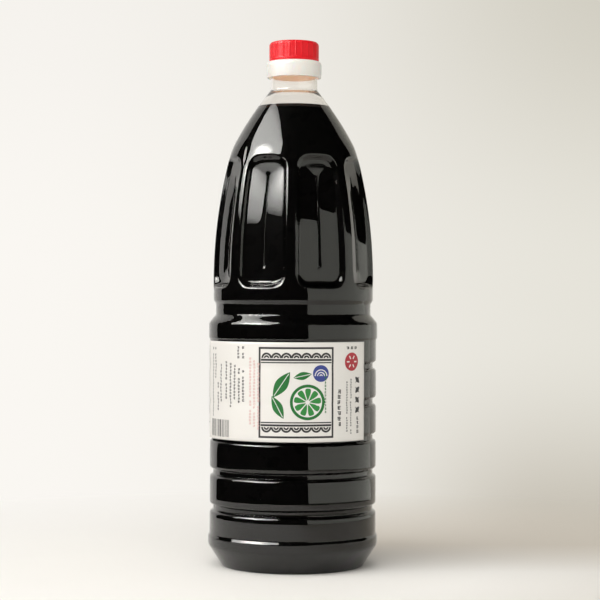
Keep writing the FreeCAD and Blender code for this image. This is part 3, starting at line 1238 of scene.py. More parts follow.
@dataclass
class Label:
    """The paper label wrapped round the drum, and its print."""

    drum: RibbedDrum
    left: float = -115.0
    right: float = 56.3
    thickness: float = 0.12
    columns: int = 150
    rows: int = 44
    sag: float = 0.22
    sag_width: float = 1.9
    air: float = 0.03
    buckle: float = 0.035
    ink_lift: float = 0.035
    slice_width: float = 1.6
    seed: int = 11
    paper: PaperFinish = PaperFinish(
        "label_paper", (0.82, 0.8, 0.765), 0.5, ior=1.45, mottle=0.03, roughness_spread=0.05,
        relief_size=0.35, relief_depth=0.006, wave_size=14.0, wave_depth=0.05,
    )
    ink_roughness: float = 0.42
    ink_mottle: float = 0.08
    low: float = field(init=False)
    high: float = field(init=False)
    dice: random.Random = field(init=False)
    marks: dict[Ink, bmesh.types.BMesh] = field(init=False)

    def __post_init__(self) -> None:
        """Reads the label's height from the frame and starts its random draws."""
        lowest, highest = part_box("label")
        self.low = lowest.z / MM
        self.high = highest.z / MM
        self.dice = random.Random(self.seed)
        self.marks = {ink: bmesh.new() for ink in Ink}

    @property
    def width(self) -> float:
        """How long the label is round the drum."""
        return math.radians(self.right - self.left) * self.drum.radius

    def radius(self, across: float, height: float) -> float:
        """The paper's outside.

        Args:
            across: How far along the label from the front.
            height: The height.

        Returns:
            How far from the axis it lies, a little less over each groove.
        """
        sunk = sum(
            math.exp(-((height - groove) / self.sag_width) ** 2)
            for groove in self.drum.groove_heights
        )
        ripple = math.sin(across * 0.31 + 1.0) * math.sin(across * 0.13 + height * 0.02)
        plain = self.drum.radius + self.thickness + self.air
        return plain - self.sag * sunk * (1 + 0.25 * ripple) + self.buckle * ripple * sunk

    def wrap(self, mesh: bmesh.types.BMesh, lift: float) -> None:
        """Lays a flat mesh round the drum.

        Args:
            mesh: The mesh, flat, with x along the label from the front and y its height.
            lift: How far over the paper it lies, to which each point's own z is added.
        """
        for vert in mesh.verts:
            across, height, own = vert.co
            angle = math.degrees(across / self.drum.radius)
            vert.co = around(angle, self.radius(across, height) + lift + own, height)

    def make_sheet(self) -> bpy.types.Object:
        """Makes the paper.

        Returns:
            The piece.
        """
        mesh = bmesh.new()
        bmesh.ops.create_grid(mesh, x_segments=self.columns, y_segments=self.rows, size=0.5)
        middle = math.radians(self.left + self.right) / 2 * self.drum.radius
        bmesh.ops.scale(mesh, vec=(self.width, self.high - self.low, 1.0), verts=mesh.verts[:])
        bmesh.ops.translate(mesh, vec=(middle, (self.low + self.high) / 2, 0.0), verts=mesh.verts[:])
        self.wrap(mesh, 0.0)
        piece = finished(mesh, "label_sheet", [self.paper.material()], "label", Slot.LABEL_PAPER)
        thick = piece.modifiers.new("paper", "SOLIDIFY")
        thick.thickness = self.thickness * MM
        thick.offset = -1.0
        return piece

    # -- flat shapes of the print, with x from the front and y up from the label's foot --

    def ink_shape(self, ink: Ink, shape: bmesh.types.BMesh, place: Point, turn: float = 0.0,
                  lift: float = 0.0) -> None:
        """Adds a flat shape to the print.

        Args:
            ink: Its ink.
            shape: The shape round its own middle, which is used up.
            place: Where its middle goes.
            turn: How far it is turned, in degrees.
            lift: How far it lies over the first layer of ink.
        """
        matrix = Matrix.Translation((place[0], place[1] + self.low, lift))
        matrix @= Matrix.Rotation(math.radians(turn), 4, "Z")
        bmesh.ops.transform(shape, matrix=matrix, verts=shape.verts[:])
        data = bpy.data.meshes.new("mark")
        shape.to_mesh(data)
        shape.free()
        self.marks[ink].from_mesh(data)
        bpy.data.meshes.remove(data)

    def bar(self, ink: Ink, place: Point, size: Point, turn: float = 0.0, lift: float = 0.0) -> None:
        """Prints a plain bar.

        Args:
            ink: Its ink.
            place: Where its middle goes.
            size: Its width and height.
            turn: How far it is turned, in degrees.
            lift: How far it lies over the first layer of ink.
        """
        shape = bmesh.new()
        bmesh.ops.create_grid(shape, x_segments=1, y_segments=1, size=0.5)
        bmesh.ops.scale(shape, vec=(size[0], size[1], 1.0), verts=shape.verts[:])
        self.ink_shape(ink, shape, place, turn, lift)

    def disc(self, ink: Ink, place: Point, radius: float, lift: float = 0.0, segments: int = 48) -> None:
        """Prints a filled round spot.

        Args:
            ink: Its ink.
            place: Where its middle goes.
            radius: Its radius.
            lift: How far it lies over the first layer of ink.
            segments: How many sides it has.
        """
        shape = bmesh.new()
        bmesh.ops.create_circle(shape, cap_ends=True, segments=segments, radius=radius)
        self.ink_shape(ink, shape, place, 0.0, lift)

    def band(self, ink: Ink, place: Point, radius: float, width: float, start: float, end: float,
             lift: float = 0.0) -> None:
        """Prints a part of a ring.

        Args:
            ink: Its ink.
            place: The ring's middle.
            radius: The ring's outer radius.
            width: How wide the band is.
            start: The angle where it starts, in degrees.
            end: The angle where it ends.
            lift: How far it lies over the first layer of ink.
        """
        shape = bmesh.new()
        pair = [shape.verts.new((size, 0.0, 0.0)) for size in (radius - width, radius)]
        edge = shape.edges.new(pair)
        bmesh.ops.rotate(shape, verts=pair, cent=ORIGIN, matrix=Matrix.Rotation(math.radians(start), 3, "Z"))
        turn = math.radians(end - start)
        steps = max(4, int(abs(end - start) / 7))
        bmesh.ops.spin(shape, geom=pair + [edge], cent=ORIGIN, axis=UP, angle=turn, steps=steps)
        bmesh.ops.remove_doubles(shape, verts=shape.verts[:], dist=0.001)
        self.ink_shape(ink, shape, place, 0.0, lift)

    def leaf(self, ink: Ink, place: Point, length: float, width: float, turn: float,
             lift: float = 0.0) -> None:
        """Prints a leaf that is pointed at both ends.

        Args:
            ink: Its ink.
            place: Where its middle goes.
            length: Its length.
            width: Its width.
            turn: How far it is turned, in degrees.
            lift: How far it lies over the first layer of ink.
        """
        shape = bmesh.new()
        bmesh.ops.create_circle(shape, cap_ends=True, segments=32, radius=1.0)
        for vert in shape.verts:
            slim = 1 - abs(vert.co.x) ** 1.7
            vert.co = Vector((vert.co.x * length / 2, math.copysign(slim, vert.co.y) * width / 2, 0.0))
        bmesh.ops.remove_doubles(shape, verts=shape.verts[:], dist=0.001)
        self.ink_shape(ink, shape, place, turn, lift)

    def wedge(self, ink: Ink, place: Point, inner: float, outer: float, spread: float, turn: float,
              lift: float) -> None:
        """Prints one round-ended segment of a cut fruit.

        Args:
            ink: Its ink.
            place: The fruit's middle.
            inner: Where the segment's point is.
            outer: Where its round end is.
            spread: The angle that it fills, in degrees.
            turn: The angle of its middle, in degrees.
            lift: How far it lies over the first layer of ink.
        """
        shape = bmesh.new()
        bmesh.ops.create_circle(shape, cap_ends=True, segments=24, radius=1.0)
        reach = (outer - inner) / 2
        half = math.tan(math.radians(spread / 2))
        for vert in shape.verts:
            along = inner + reach * (1 + vert.co.x)
            fullness = abs(vert.co.y) ** 0.55
            vert.co = Vector((along, math.copysign(fullness, vert.co.y) * along * half, 0.0))
        self.ink_shape(ink, shape, place, turn, lift)

    def greeking(self, ink: Ink, place: Point, size: Point, cell: float, weight: float = 0.17) -> None:
        """Prints a column of tiny meaningless ticks, in place of small print.

        Args:
            ink: Its ink.
            place: The middle of the column.
            size: The column's width and height.
            cell: The height of one group of ticks.
            weight: How thick the ticks are, as a share of the cell.
        """
        for row in range(int(size[1] / cell)):
            height = place[1] + size[1] / 2 - (row + 0.5) * cell
            if self.dice.random() < 0.07:
                continue
            for part in range(3):
                width = size[0] * self.dice.uniform(0.45, 1.0)
                shift = (size[0] - width) * self.dice.uniform(-0.5, 0.5)
                self.bar(ink, (place[0] + shift, height + (part - 1) * cell * 0.27), (width, cell * weight))
            for side in self.dice.sample((-0.32, -0.1, 0.12, 0.34), 2):
                tick = (place[0] + size[0] * side, height + cell * self.dice.uniform(-0.1, 0.1))
                self.bar(ink, tick, (cell * weight, cell * self.dice.uniform(0.4, 0.72)))

    def scales(self, place: Point, count: int, radius: float, turn: float) -> None:
        """Prints a row of wave scales, each of two round bands.

        Args:
            place: The middle of the row's foot.
            count: How many scales it has.
            radius: The radius of one.
            turn: 0 for scales that open downward, and 180 for scales that open upward.
        """
        for index in range(count):
            middle = (place[0] + (index - (count - 1) / 2) * 2 * radius, place[1])
            for size, width in ((radius + 0.25, 1.15), (radius * 0.56, 1.0)):
                self.band(Ink.BLACK, middle, size, width, turn, turn + 180.0)

    def print_emblem(self) -> None:
        """Prints the framed picture at the front: a cut citrus fruit with leaves over plain waves."""
        middle = 2.2
        width, height = 44.0, 52.0
        centre = 29.0
        line = 1.15
        for side in (-1, 1):
            self.bar(Ink.BLACK, (middle + side * width / 2, centre), (line, height + line))
            self.bar(Ink.BLACK, (middle, centre + side * height / 2), (width + line, line))
            self.bar(Ink.BLACK, (middle, centre + side * (height / 2 - 6.9)), (width - 1.6, 1.2))
            self.bar(Ink.BLACK, (middle, centre + side * (height / 2 - 8.5)), (width - 1.6, 0.7))
            foot = centre + side * (height / 2 - 5.85)
            self.scales((middle, foot), 7, 2.95, 90.0 - side * 90.0)
        fruit = (middle + 6.6, centre - 5.6)
        self.disc(Ink.GREEN, fruit, 10.4)
        self.disc(Ink.WHITE, fruit, 8.7, 0.02)
        for segment in range(9):
            self.wedge(Ink.LEAF, fruit, 1.2, 8.1, 32.0, segment * 40.0 + 8.0, 0.04)
        for place, size, turn in (((-8.8, 4.6), (18.0, 7.6), 56.0), ((-11.0, -8.6), (15.0, 6.0), 118.0),
                                  ((3.6, 9.8), (11.0, 4.6), 12.0)):
            spot = (middle + place[0], centre + place[1])
            self.leaf(Ink.GREEN, spot, size[0], size[1], turn)
            self.bar(Ink.WHITE, spot, (size[0] * 0.86, 0.4), turn, 0.02)
        sea = (middle + 14.6, centre + 11.2)
        self.disc(Ink.BLUE, sea, 4.9)
        for size in (3.9, 2.4, 1.0):
            self.band(Ink.WHITE, (sea[0], sea[1] - 1.5), size, 0.55, 0.0, 180.0, 0.02)

    def print_right_side(self) -> None:
        """Prints the red seal and the columns of small print right of the picture."""
        seal = (38.2, 46.8)
        self.disc(Ink.RED, seal, 5.4)
        for turn in (0.0, 60.0, 120.0):
            self.bar(Ink.WHITE, seal, (7.8, 0.8), turn, 0.02)
        self.disc(Ink.RED, seal, 1.9, 0.04, 24)
        for spot in range(3):
            self.greeking(Ink.BLACK, (35.0 + spot * 3.2, 55.0), (2.2, 2.2), 2.2)
        for spot in range(4):
            height = 36.0 - spot * 5.9
            self.leaf(Ink.BLACK, (43.0, height), 5.2, 2.6, 45.0 if spot % 2 else -45.0)
            self.leaf(Ink.BLACK, (43.0, height), 5.2, 1.2, -45.0 if spot % 2 else 45.0)
        self.greeking(Ink.BLACK, (43.2, 8.6), (1.8, 12.0), 2.6)
        for column, (top, length) in enumerate(((37.0, 32.0), (37.0, 33.0))):
            self.greeking(Ink.BLACK, (34.4 + column * 3.1, top - length / 2), (1.2, length), 1.5, 0.13)
        self.greeking(Ink.BLACK, (28.8, 18.6), (2.5, 25.0), 3.2, 0.15)
        self.greeking(Ink.GREEN, (19.6, 28.5), (1.1, 26.0), 1.9, 0.12)

    def print_left_side(self) -> None:
        """Prints the columns of small print and the plain bars left of the picture."""
        columns = ((-61.5, 55.0, 42.0), (-57.5, 55.0, 19.0), (-54.0, 36.0, 20.0), (-50.5, 47.0, 26.0),
                   (-45.0, 47.0, 24.0), (-41.0, 46.0, 27.0), (-37.6, 45.0, 22.0), (-34.2, 43.0, 21.0),
                   (-31.0, 42.0, 19.0), (-34.6, 56.0, 9.0), (-31.0, 56.0, 9.0))
        for across, top, length in columns:
            self.greeking(Ink.BLACK, (across, top - length / 2), (1.6, length), 1.9)
        for column in range(3):
            self.greeking(Ink.PINK, (-26.0 + column * 2.7, 29.5 - column * 1.5), (1.5, 40.0), 1.8)
        spot = -63.0
        while spot < -42.0:
            thick = self.dice.choice((0.3, 0.3, 0.6, 0.9))
            self.bar(Ink.BLACK, (spot, 6.8), (thick, 10.2))
            spot += thick + self.dice.choice((0.4, 0.6, 0.9))
        for column in range(6):
            self.greeking(Ink.BLACK, (-98.0 + column * 5.0, 34.0), (1.8, 40.0), 1.9)
        for side in (-1, 1):
            self.bar(Ink.BLACK, (-85.5 + side * 15.0, 32.0), (0.35, 46.0))
            self.bar(Ink.BLACK, (-85.5, 32.0 + side * 23.0), (30.0, 0.35))

    def make_print(self) -> list[bpy.types.Object]:
        """Makes the print, one piece for each ink.

        Returns:
            The pieces.
        """
        self.print_emblem()
        self.print_right_side()
        self.print_left_side()
        pieces = []
        for ink, mesh in self.marks.items():
            self.slice_up(mesh)
            self.wrap(mesh, self.ink_lift)
            bmesh.ops.recalc_face_normals(mesh, faces=mesh.faces[:])
            inward = [face for face in mesh.faces if face.normal.xy.dot(face.calc_center_median().xy) < 0]
            bmesh.ops.reverse_faces(mesh, faces=inward)
            word = ink.name.lower()
            finish = replace(self.paper, name=f"ink_{word}", colour=ink.value, roughness=self.ink_roughness,
                             mottle=self.ink_mottle)
            piece = finished(mesh, f"label_print_{word}", [finish.material()], "label", Slot.LABEL_PAPER)
            pieces.append(piece)
        return pieces

    def slice_up(self, mesh: bmesh.types.BMesh) -> None:
        """Cuts flat shapes into narrow strips, so that they can bend round the drum.

        Args:
            mesh: The flat shapes.
        """
        half = self.width
        cuts = [((spot * self.slice_width, 0.0, 0.0), (1.0, 0.0, 0.0))
                for spot in range(int(-half / self.slice_width), int(half / self.slice_width))]
        cuts += [((0.0, self.low + row * self.slice_width, 0.0), (0.0, 1.0, 0.0))
                 for row in range(1, int((self.high - self.low) / self.slice_width) + 1)]
        for place, normal in cuts:
            bmesh.ops.bisect_plane(
                mesh, geom=mesh.verts[:] + mesh.edges[:] + mesh.faces[:], dist=0.0001,
                plane_co=place, plane_no=normal,
            )


# ---- the collar and the lid ---------------------------------------------------------------

@dataclass(frozen=True)
class CollarFinish(Finish):
    """A white plastic with a painted warm glow on its inside, which stands in for light coming through the
    thin plastic.
    """

    # The painted glow: its colour and strength, and how far from the axis it reaches and fades out.
    painted_glow_colour: Colour = (1.0, 0.56, 0.32)
    painted_glow_strength: float = 0.4
    inside_radius: float = 14.6
    inside_fade: float = 0.6

    def add_glow(self, shader: Shader, surface: bpy.types.Node) -> None:
        """Adds a painted warm glow on the inside, within inside_radius of the axis and fading out over
        inside_fade.

        Args:
            shader: The material that is being made.
            surface: Its surface.
        """
        flat = shader.node("ShaderNodeVectorMath", operation="MULTIPLY")
        flat.inputs[1].default_value = (1.0, 1.0, 0.0)
        shader.link(shader.place, flat.inputs[0])
        reach = shader.length(flat.outputs["Vector"])
        edge, end = self.inside_radius * MM, (self.inside_radius + self.inside_fade) * MM
        level = shader.ranged(reach, self.painted_glow_strength, 0.0, edge, end)
        # Painted light: the collar's inside glows though it is no lamp.
        shader.feed(self.painted_glow_colour, surface.inputs["Emission Color"])
        shader.link(level, surface.inputs["Emission Strength"])


@dataclass
class Collar:
    """The white collar that snaps on the neck."""

    neck_radius: float = 14.25
    low_radius: float = 16.48
    radius: float = 16.78
    bulge: float = 300.4
    shoulder: float = 303.6
    top_radius: float = 15.47
    edge_round: float = 0.35
    gap: float = 0.05
    steps: int = 96
    finish: CollarFinish = CollarFinish(
        "white_plastic", (0.86, 0.84, 0.8), 0.38, ior=1.5, mottle=0.03, relief_size=0.8, relief_depth=0.006,
        wave_size=7.0, wave_depth=0.02, subsurface=0.3, subsurface_depth=1.5,
    )
    low: float = field(init=False)
    high: float = field(init=False)

    def __post_init__(self) -> None:
        """Reads the collar's low edge and the lid's from the frame."""
        self.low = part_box("collar")[0].z / MM
        self.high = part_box("lid")[0].z / MM

    def build(self) -> bpy.types.Object:
        """Makes the collar, closed over the mouth.

        Returns:
            The piece.
        """
        inner = self.neck_radius + self.gap
        mouth = Shoulder().neck_top + self.gap
        side = Bend((self.low_radius, self.low + self.edge_round), (self.radius, self.bulge),
                    (self.radius, self.shoulder))
        middle = ((self.radius + self.top_radius) / 2 + 0.35, (self.shoulder + self.high) / 2 + 0.25)
        soft = Bend((self.radius, self.shoulder), middle, (self.top_radius, self.high))
        section = rounded([
            Corner(0.0, mouth), Corner(inner, mouth), Corner(inner, self.low + 1.0),
            Corner(inner, self.low, 0.2), Corner(self.low_radius, self.low, self.edge_round),
            Corner(self.low_radius, self.low + self.edge_round * 1.5),
        ], 2)
        section += side.points(5) + soft.points(6)
        section += [(self.top_radius - 0.4, self.high + 0.02), (0.0, self.high + 0.02)]
        mesh = spun(section, self.steps)
        piece = finished(mesh, "collar_ring", [self.finish.material()], "collar", Slot.WHITE_PLASTIC)
        subdivided(piece)
        return piece


@dataclass
class Lid:
    """The red screw lid: a plain rim, narrow grip ridges and a rounded top edge."""

    radius: float = 14.76
    rim_radius: float = 15.11
    rim_top: float = 308.3
    edge_round: float = 1.62
    ridges: int = 24
    ridge_phase: float = 4.4
    ridge_out: float = 0.42
    ridge_half_angle: float = 2.1
    ridge_top: float = 317.3
    parts_between: int = 12
    dish: float = 0.35
    finish: Finish = Finish(
        "red_plastic", (0.8, 0.005, 0.014), 0.36, ior=1.4, mottle=0.05, relief_size=0.7, relief_depth=0.005,
        wave_size=6.0, wave_depth=0.015, subsurface=0.05,
    )
    low: float = field(init=False)
    top: float = field(init=False)

    def __post_init__(self) -> None:
        """Reads the lid's height from the frame."""
        lowest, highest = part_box("lid")
        self.low = lowest.z / MM
        self.top = highest.z / MM

    def ridge(self, angle: float) -> float:
        """Returns how far the grip stands out at an angle, as a share of a ridge's height.

        Args:
            angle: The angle from the front, in degrees.

        Returns:
            The share, from 0 to 1.
        """
        pitch = 360 / self.ridges
        off = (angle - self.ridge_phase + pitch / 2) % pitch - pitch / 2
        return 1 - smooth_step(abs(off) / self.ridge_half_angle)

    def build(self) -> bpy.types.Object:
        """Makes the lid.

        Returns:
            The piece.
        """
        section = rounded([
            Corner(0.0, self.low + 0.05), Corner(self.rim_radius, self.low + 0.05, 0.3),
            Corner(self.rim_radius, self.rim_top, 0.15), Corner(self.radius, self.rim_top + 0.02, 0.15),
            Corner(self.radius, self.top, self.edge_round), Corner(self.radius - 2.6, self.top),
        ], 3)
        cut = next(index for index, spot in enumerate(section) if spot[1] > self.rim_top + 0.3)
        low_side = section[cut - 1]
        heights = [low_side[1] + share * (section[cut][1] - low_side[1]) for share in (0.06, 0.5, 0.94)]
        section[cut:cut] = [(self.radius, height) for height in heights]
        section += [
            (self.radius - 3.2, self.top - self.dish * 0.5), (self.radius - 3.8, self.top - self.dish),
            (self.radius - 8.0, self.top - self.dish), (1.2, self.top - self.dish),
            (0.8, self.top - self.dish + 0.15), (0.0, self.top - self.dish + 0.2),
        ]
        mesh = spun(section, self.ridges * self.parts_between)
        for vert in mesh.verts:
            reach = math.hypot(vert.co.x, vert.co.y)
            if vert.co.z < self.rim_top + 0.1 or reach < self.radius - self.edge_round:
                continue
            angle = math.degrees(math.atan2(vert.co.x, -vert.co.y))
            fade = 1 - smooth_step((vert.co.z - self.ridge_top + 0.6) / 0.9)
            share = 1 + self.ridge_out * self.ridge(angle) * fade / reach
            vert.co.x *= share
            vert.co.y *= share
        return finished(mesh, "lid_cap", [self.finish.material()], "lid", Slot.RED_PLASTIC)


# ---- the studio ---------------------------------------------------------------------------

@dataclass
class Card:
    """A glowing card that only shows in reflections."""

    name: str
    colour: Colour
    height: float
    glow: tuple[tuple[float, float], ...]
    width: float = 2.0
    azimuth: float = 0.0
    elevation: float = 0.0
    distance: float = 1.6
    middle_height: float = 0.16
    shift: Point = (0.0, 0.0)

    def light(self, shader: Shader, chart: bpy.types.NodeSocket, colour: bpy.types.NodeSocket,
              strength: float) -> bpy.types.NodeSocket:
        """The card's light.

        Args:
            shader: The material that is being made.
            chart: The card's UV map.
            colour: Its colour.
            strength: Its strength.

        Returns:
            The glow.
        """
        return shader.emission(colour, strength)

    def material(self) -> bpy.types.Material:
        """The card's glow, which changes from its low edge to its high edge.

        Returns:
            The material.
        """
        shader = Shader(self.name)
        chart = shader.node("ShaderNodeUVMap", uv_map="card").outputs["UV"]
        most = max(strength for _, strength in self.glow)
        stops = [(place, scaled(self.colour, strength / most)) for place, strength in self.glow]
        colour = shader.ramp(shader.split(chart)["Y"], stops)
        shader.link(self.light(shader, chart, colour, most), shader.output.inputs["Surface"])
        return shader.material

    def placed(self, mesh: bmesh.types.BMesh) -> bpy.types.Object:
        """Makes the mesh a card that only reflections see.

        Args:
            mesh: The mesh, with its height along Y in its UV map.

        Returns:
            The card.
        """
        card = as_object(mesh, self.name, [self.material()])
        card.visible_camera = False
        card.visible_diffuse = False
        card.visible_shadow = False
        return card

    def shape(self) -> bmesh.types.BMesh:
        """The card's outline.

        Returns:
            Its mesh, one metre wide and high.
        """
        mesh = bmesh.new()
        bmesh.ops.create_grid(mesh, x_segments=1, y_segments=1, size=0.5)
        return mesh

    def build(self) -> bpy.types.Object:
        """Makes a flat card, which faces the middle of the bottle.

        Returns:
            The card.
        """
        mesh = self.shape()
        chart = mesh.loops.layers.uv.new("card")
        for face in mesh.faces:
            for loop in face.loops:
                loop[chart].uv = loop.vert.co.xy + Vector((0.5, 0.5))
        bmesh.ops.scale(mesh, vec=(self.width, self.height, 1.0), verts=mesh.verts[:])
        card = self.placed(mesh)
        toward = direction(self.azimuth, self.elevation)
        sideways = around(self.azimuth + 90.0, 1.0, 0.0)
        offset = sideways * self.shift[0] + sideways.cross(toward) * -self.shift[1]
        card.location = Vector((0.0, 0.0, self.middle_height)) + toward * self.distance + offset
        card.rotation_euler = toward.to_track_quat("Z", "Y").to_euler()
        return card


@dataclass
class Softbox(Card):
    """A wide card with one well rounded corner, brightest at one spot."""

    squareness: float = 14.0
    round_squareness: float = 2.1
    spot: Point = (0.535, 0.35)
    spot_size: Point = (0.185, 0.165)
    spot_strength: float = 22.0
    left_share: float = 0.72
    left_end: float = 0.55

    def light(self, shader: Shader, chart: bpy.types.NodeSocket, colour: bpy.types.NodeSocket,
              strength: float) -> bpy.types.NodeSocket:
        """The card's light, weaker at the left and with the bright spot added.

        Args:
            shader: The material that is being made.
            chart: The card's UV map.
            colour: Its colour.
            strength: Its strength.

        Returns:
            The glow.
        """
        mapping = shader.node("ShaderNodeMapping", vector_type="TEXTURE")
        mapping.inputs["Location"].default_value = (*self.spot, 0.0)
        mapping.inputs["Scale"].default_value = (*self.spot_size, 1.0)
        shader.link(chart, mapping.inputs["Vector"])
        far = shader.length(mapping.outputs["Vector"])
        spot = shader.ranged(far, self.spot_strength, 0.0, 0.0, 2.0, Easing.SMOOTHER)
        across = shader.split(chart)["X"]
        level = shader.ranged(across, strength * self.left_share, strength, 0.0, self.left_end)
        both = shader.node("ShaderNodeAddShader")
        shader.link(shader.emission(colour, level), both.inputs[0])
        shader.link(shader.emission(self.colour, spot), both.inputs[1])
        return both.outputs["Shader"]

    def shape(self) -> bmesh.types.BMesh:
        """The round-cornered card.

        Returns:
            Its mesh, one metre wide and high.
        """
        mesh = bmesh.new()
        bmesh.ops.create_circle(mesh, cap_ends=True, segments=96, radius=1.0)
        for vert in mesh.verts:
            across, up, _ = vert.co
            power = 2.0 / (self.round_squareness if up > 0 and across > 0 else self.squareness)
            vert.co.x = 0.5 * math.copysign(abs(across) ** power, across)
            vert.co.y = 0.5 * math.copysign(abs(up) ** power, up)
        return mesh


@dataclass
class CurvedCard(Card):
    """A card that stands on the floor and curves round the bottle."""

    start: float = 20.5
    end: float = 132.0
    end_height: float = 0.3

    def build(self) -> bpy.types.Object:
        """Makes the card.

        Returns:
            The card.
        """
        mesh = bmesh.new()
        chart = mesh.loops.layers.uv.new("card")
        foot = around(self.start, self.distance, 0.0)
        verts = [mesh.verts.new(foot + UP * height) for height in (0.0, self.height)]
        edge = mesh.edges.new(verts)
        turn = math.radians(self.end - self.start)
        bmesh.ops.spin(mesh, geom=verts + [edge], cent=ORIGIN, axis=UP, angle=turn, steps=40)
        for face in mesh.faces:
            for loop in face.loops:
                loop[chart].uv = (0.5, loop.vert.co.z / self.height)
        for vert in mesh.verts:
            angle = math.degrees(math.atan2(vert.co.x, -vert.co.y))
            share = (angle - self.start) / (self.end - self.start)
            vert.co.z *= 1 + (self.end_height / self.height - 1) * share
        return self.placed(mesh)


@dataclass
class FloorSheet(CurvedCard):
    """A pale sheet that lies on the floor in front of a curved card."""

    near: float = 0.37

    def build(self) -> bpy.types.Object:
        """Makes the sheet.

        Returns:
            The card.
        """
        mesh = bmesh.new()
        mesh.loops.layers.uv.new("card")
        ends = (self.near, self.distance)
        verts = [mesh.verts.new(around(self.start, reach, self.height)) for reach in ends]
        edge = mesh.edges.new(verts)
        turn = math.radians(self.end - self.start)
        bmesh.ops.spin(mesh, geom=verts + [edge], cent=ORIGIN, axis=UP, angle=turn, steps=40)
        return self.placed(mesh)


def direction(azimuth: float, elevation: float) -> Vector:
    """Returns the direction at an angle round the bottle and an angle over the horizon, in degrees."""
    rise = math.radians(elevation)
    return around(azimuth, math.cos(rise), math.sin(rise))


@dataclass(frozen=True)
class Lamp:
    """A flat lamp that lights dull surfaces and doesn't show in gloss, in metres, degrees and watts."""

    name: str
    azimuth: float
    elevation: float
    size: Point
    power: float
    colour: Colour
    distance: float = 1.6
    aim: float = 0.16

    def build(self) -> None:
        """Makes the lamp, turned to the middle of the bottle."""
        data = bpy.data.lights.new(self.name, "AREA")
        data.shape = "RECTANGLE"
        data.size, data.size_y = self.size
        data.energy = self.power
        data.color = self.colour
        lamp = added(self.name, data)
        toward = direction(self.azimuth, self.elevation)
        lamp.location = UP * self.aim + toward * self.distance
        lamp.rotation_euler = toward.to_track_quat("Z", "Y").to_euler()
        lamp.visible_glossy = False
        lamp.visible_camera = False
        lamp.visible_transmission = False


@dataclass(frozen=True)
class Shade:
    """A painted shade on the backdrop and the far floor, a soft darkening that stands in for less light
    falling there. Its places are in half views from the middle of the view.
    """

    tint: Colour
    side: Point = (-9.0, -8.0)
    rise: Point = (-9.0, -8.0)


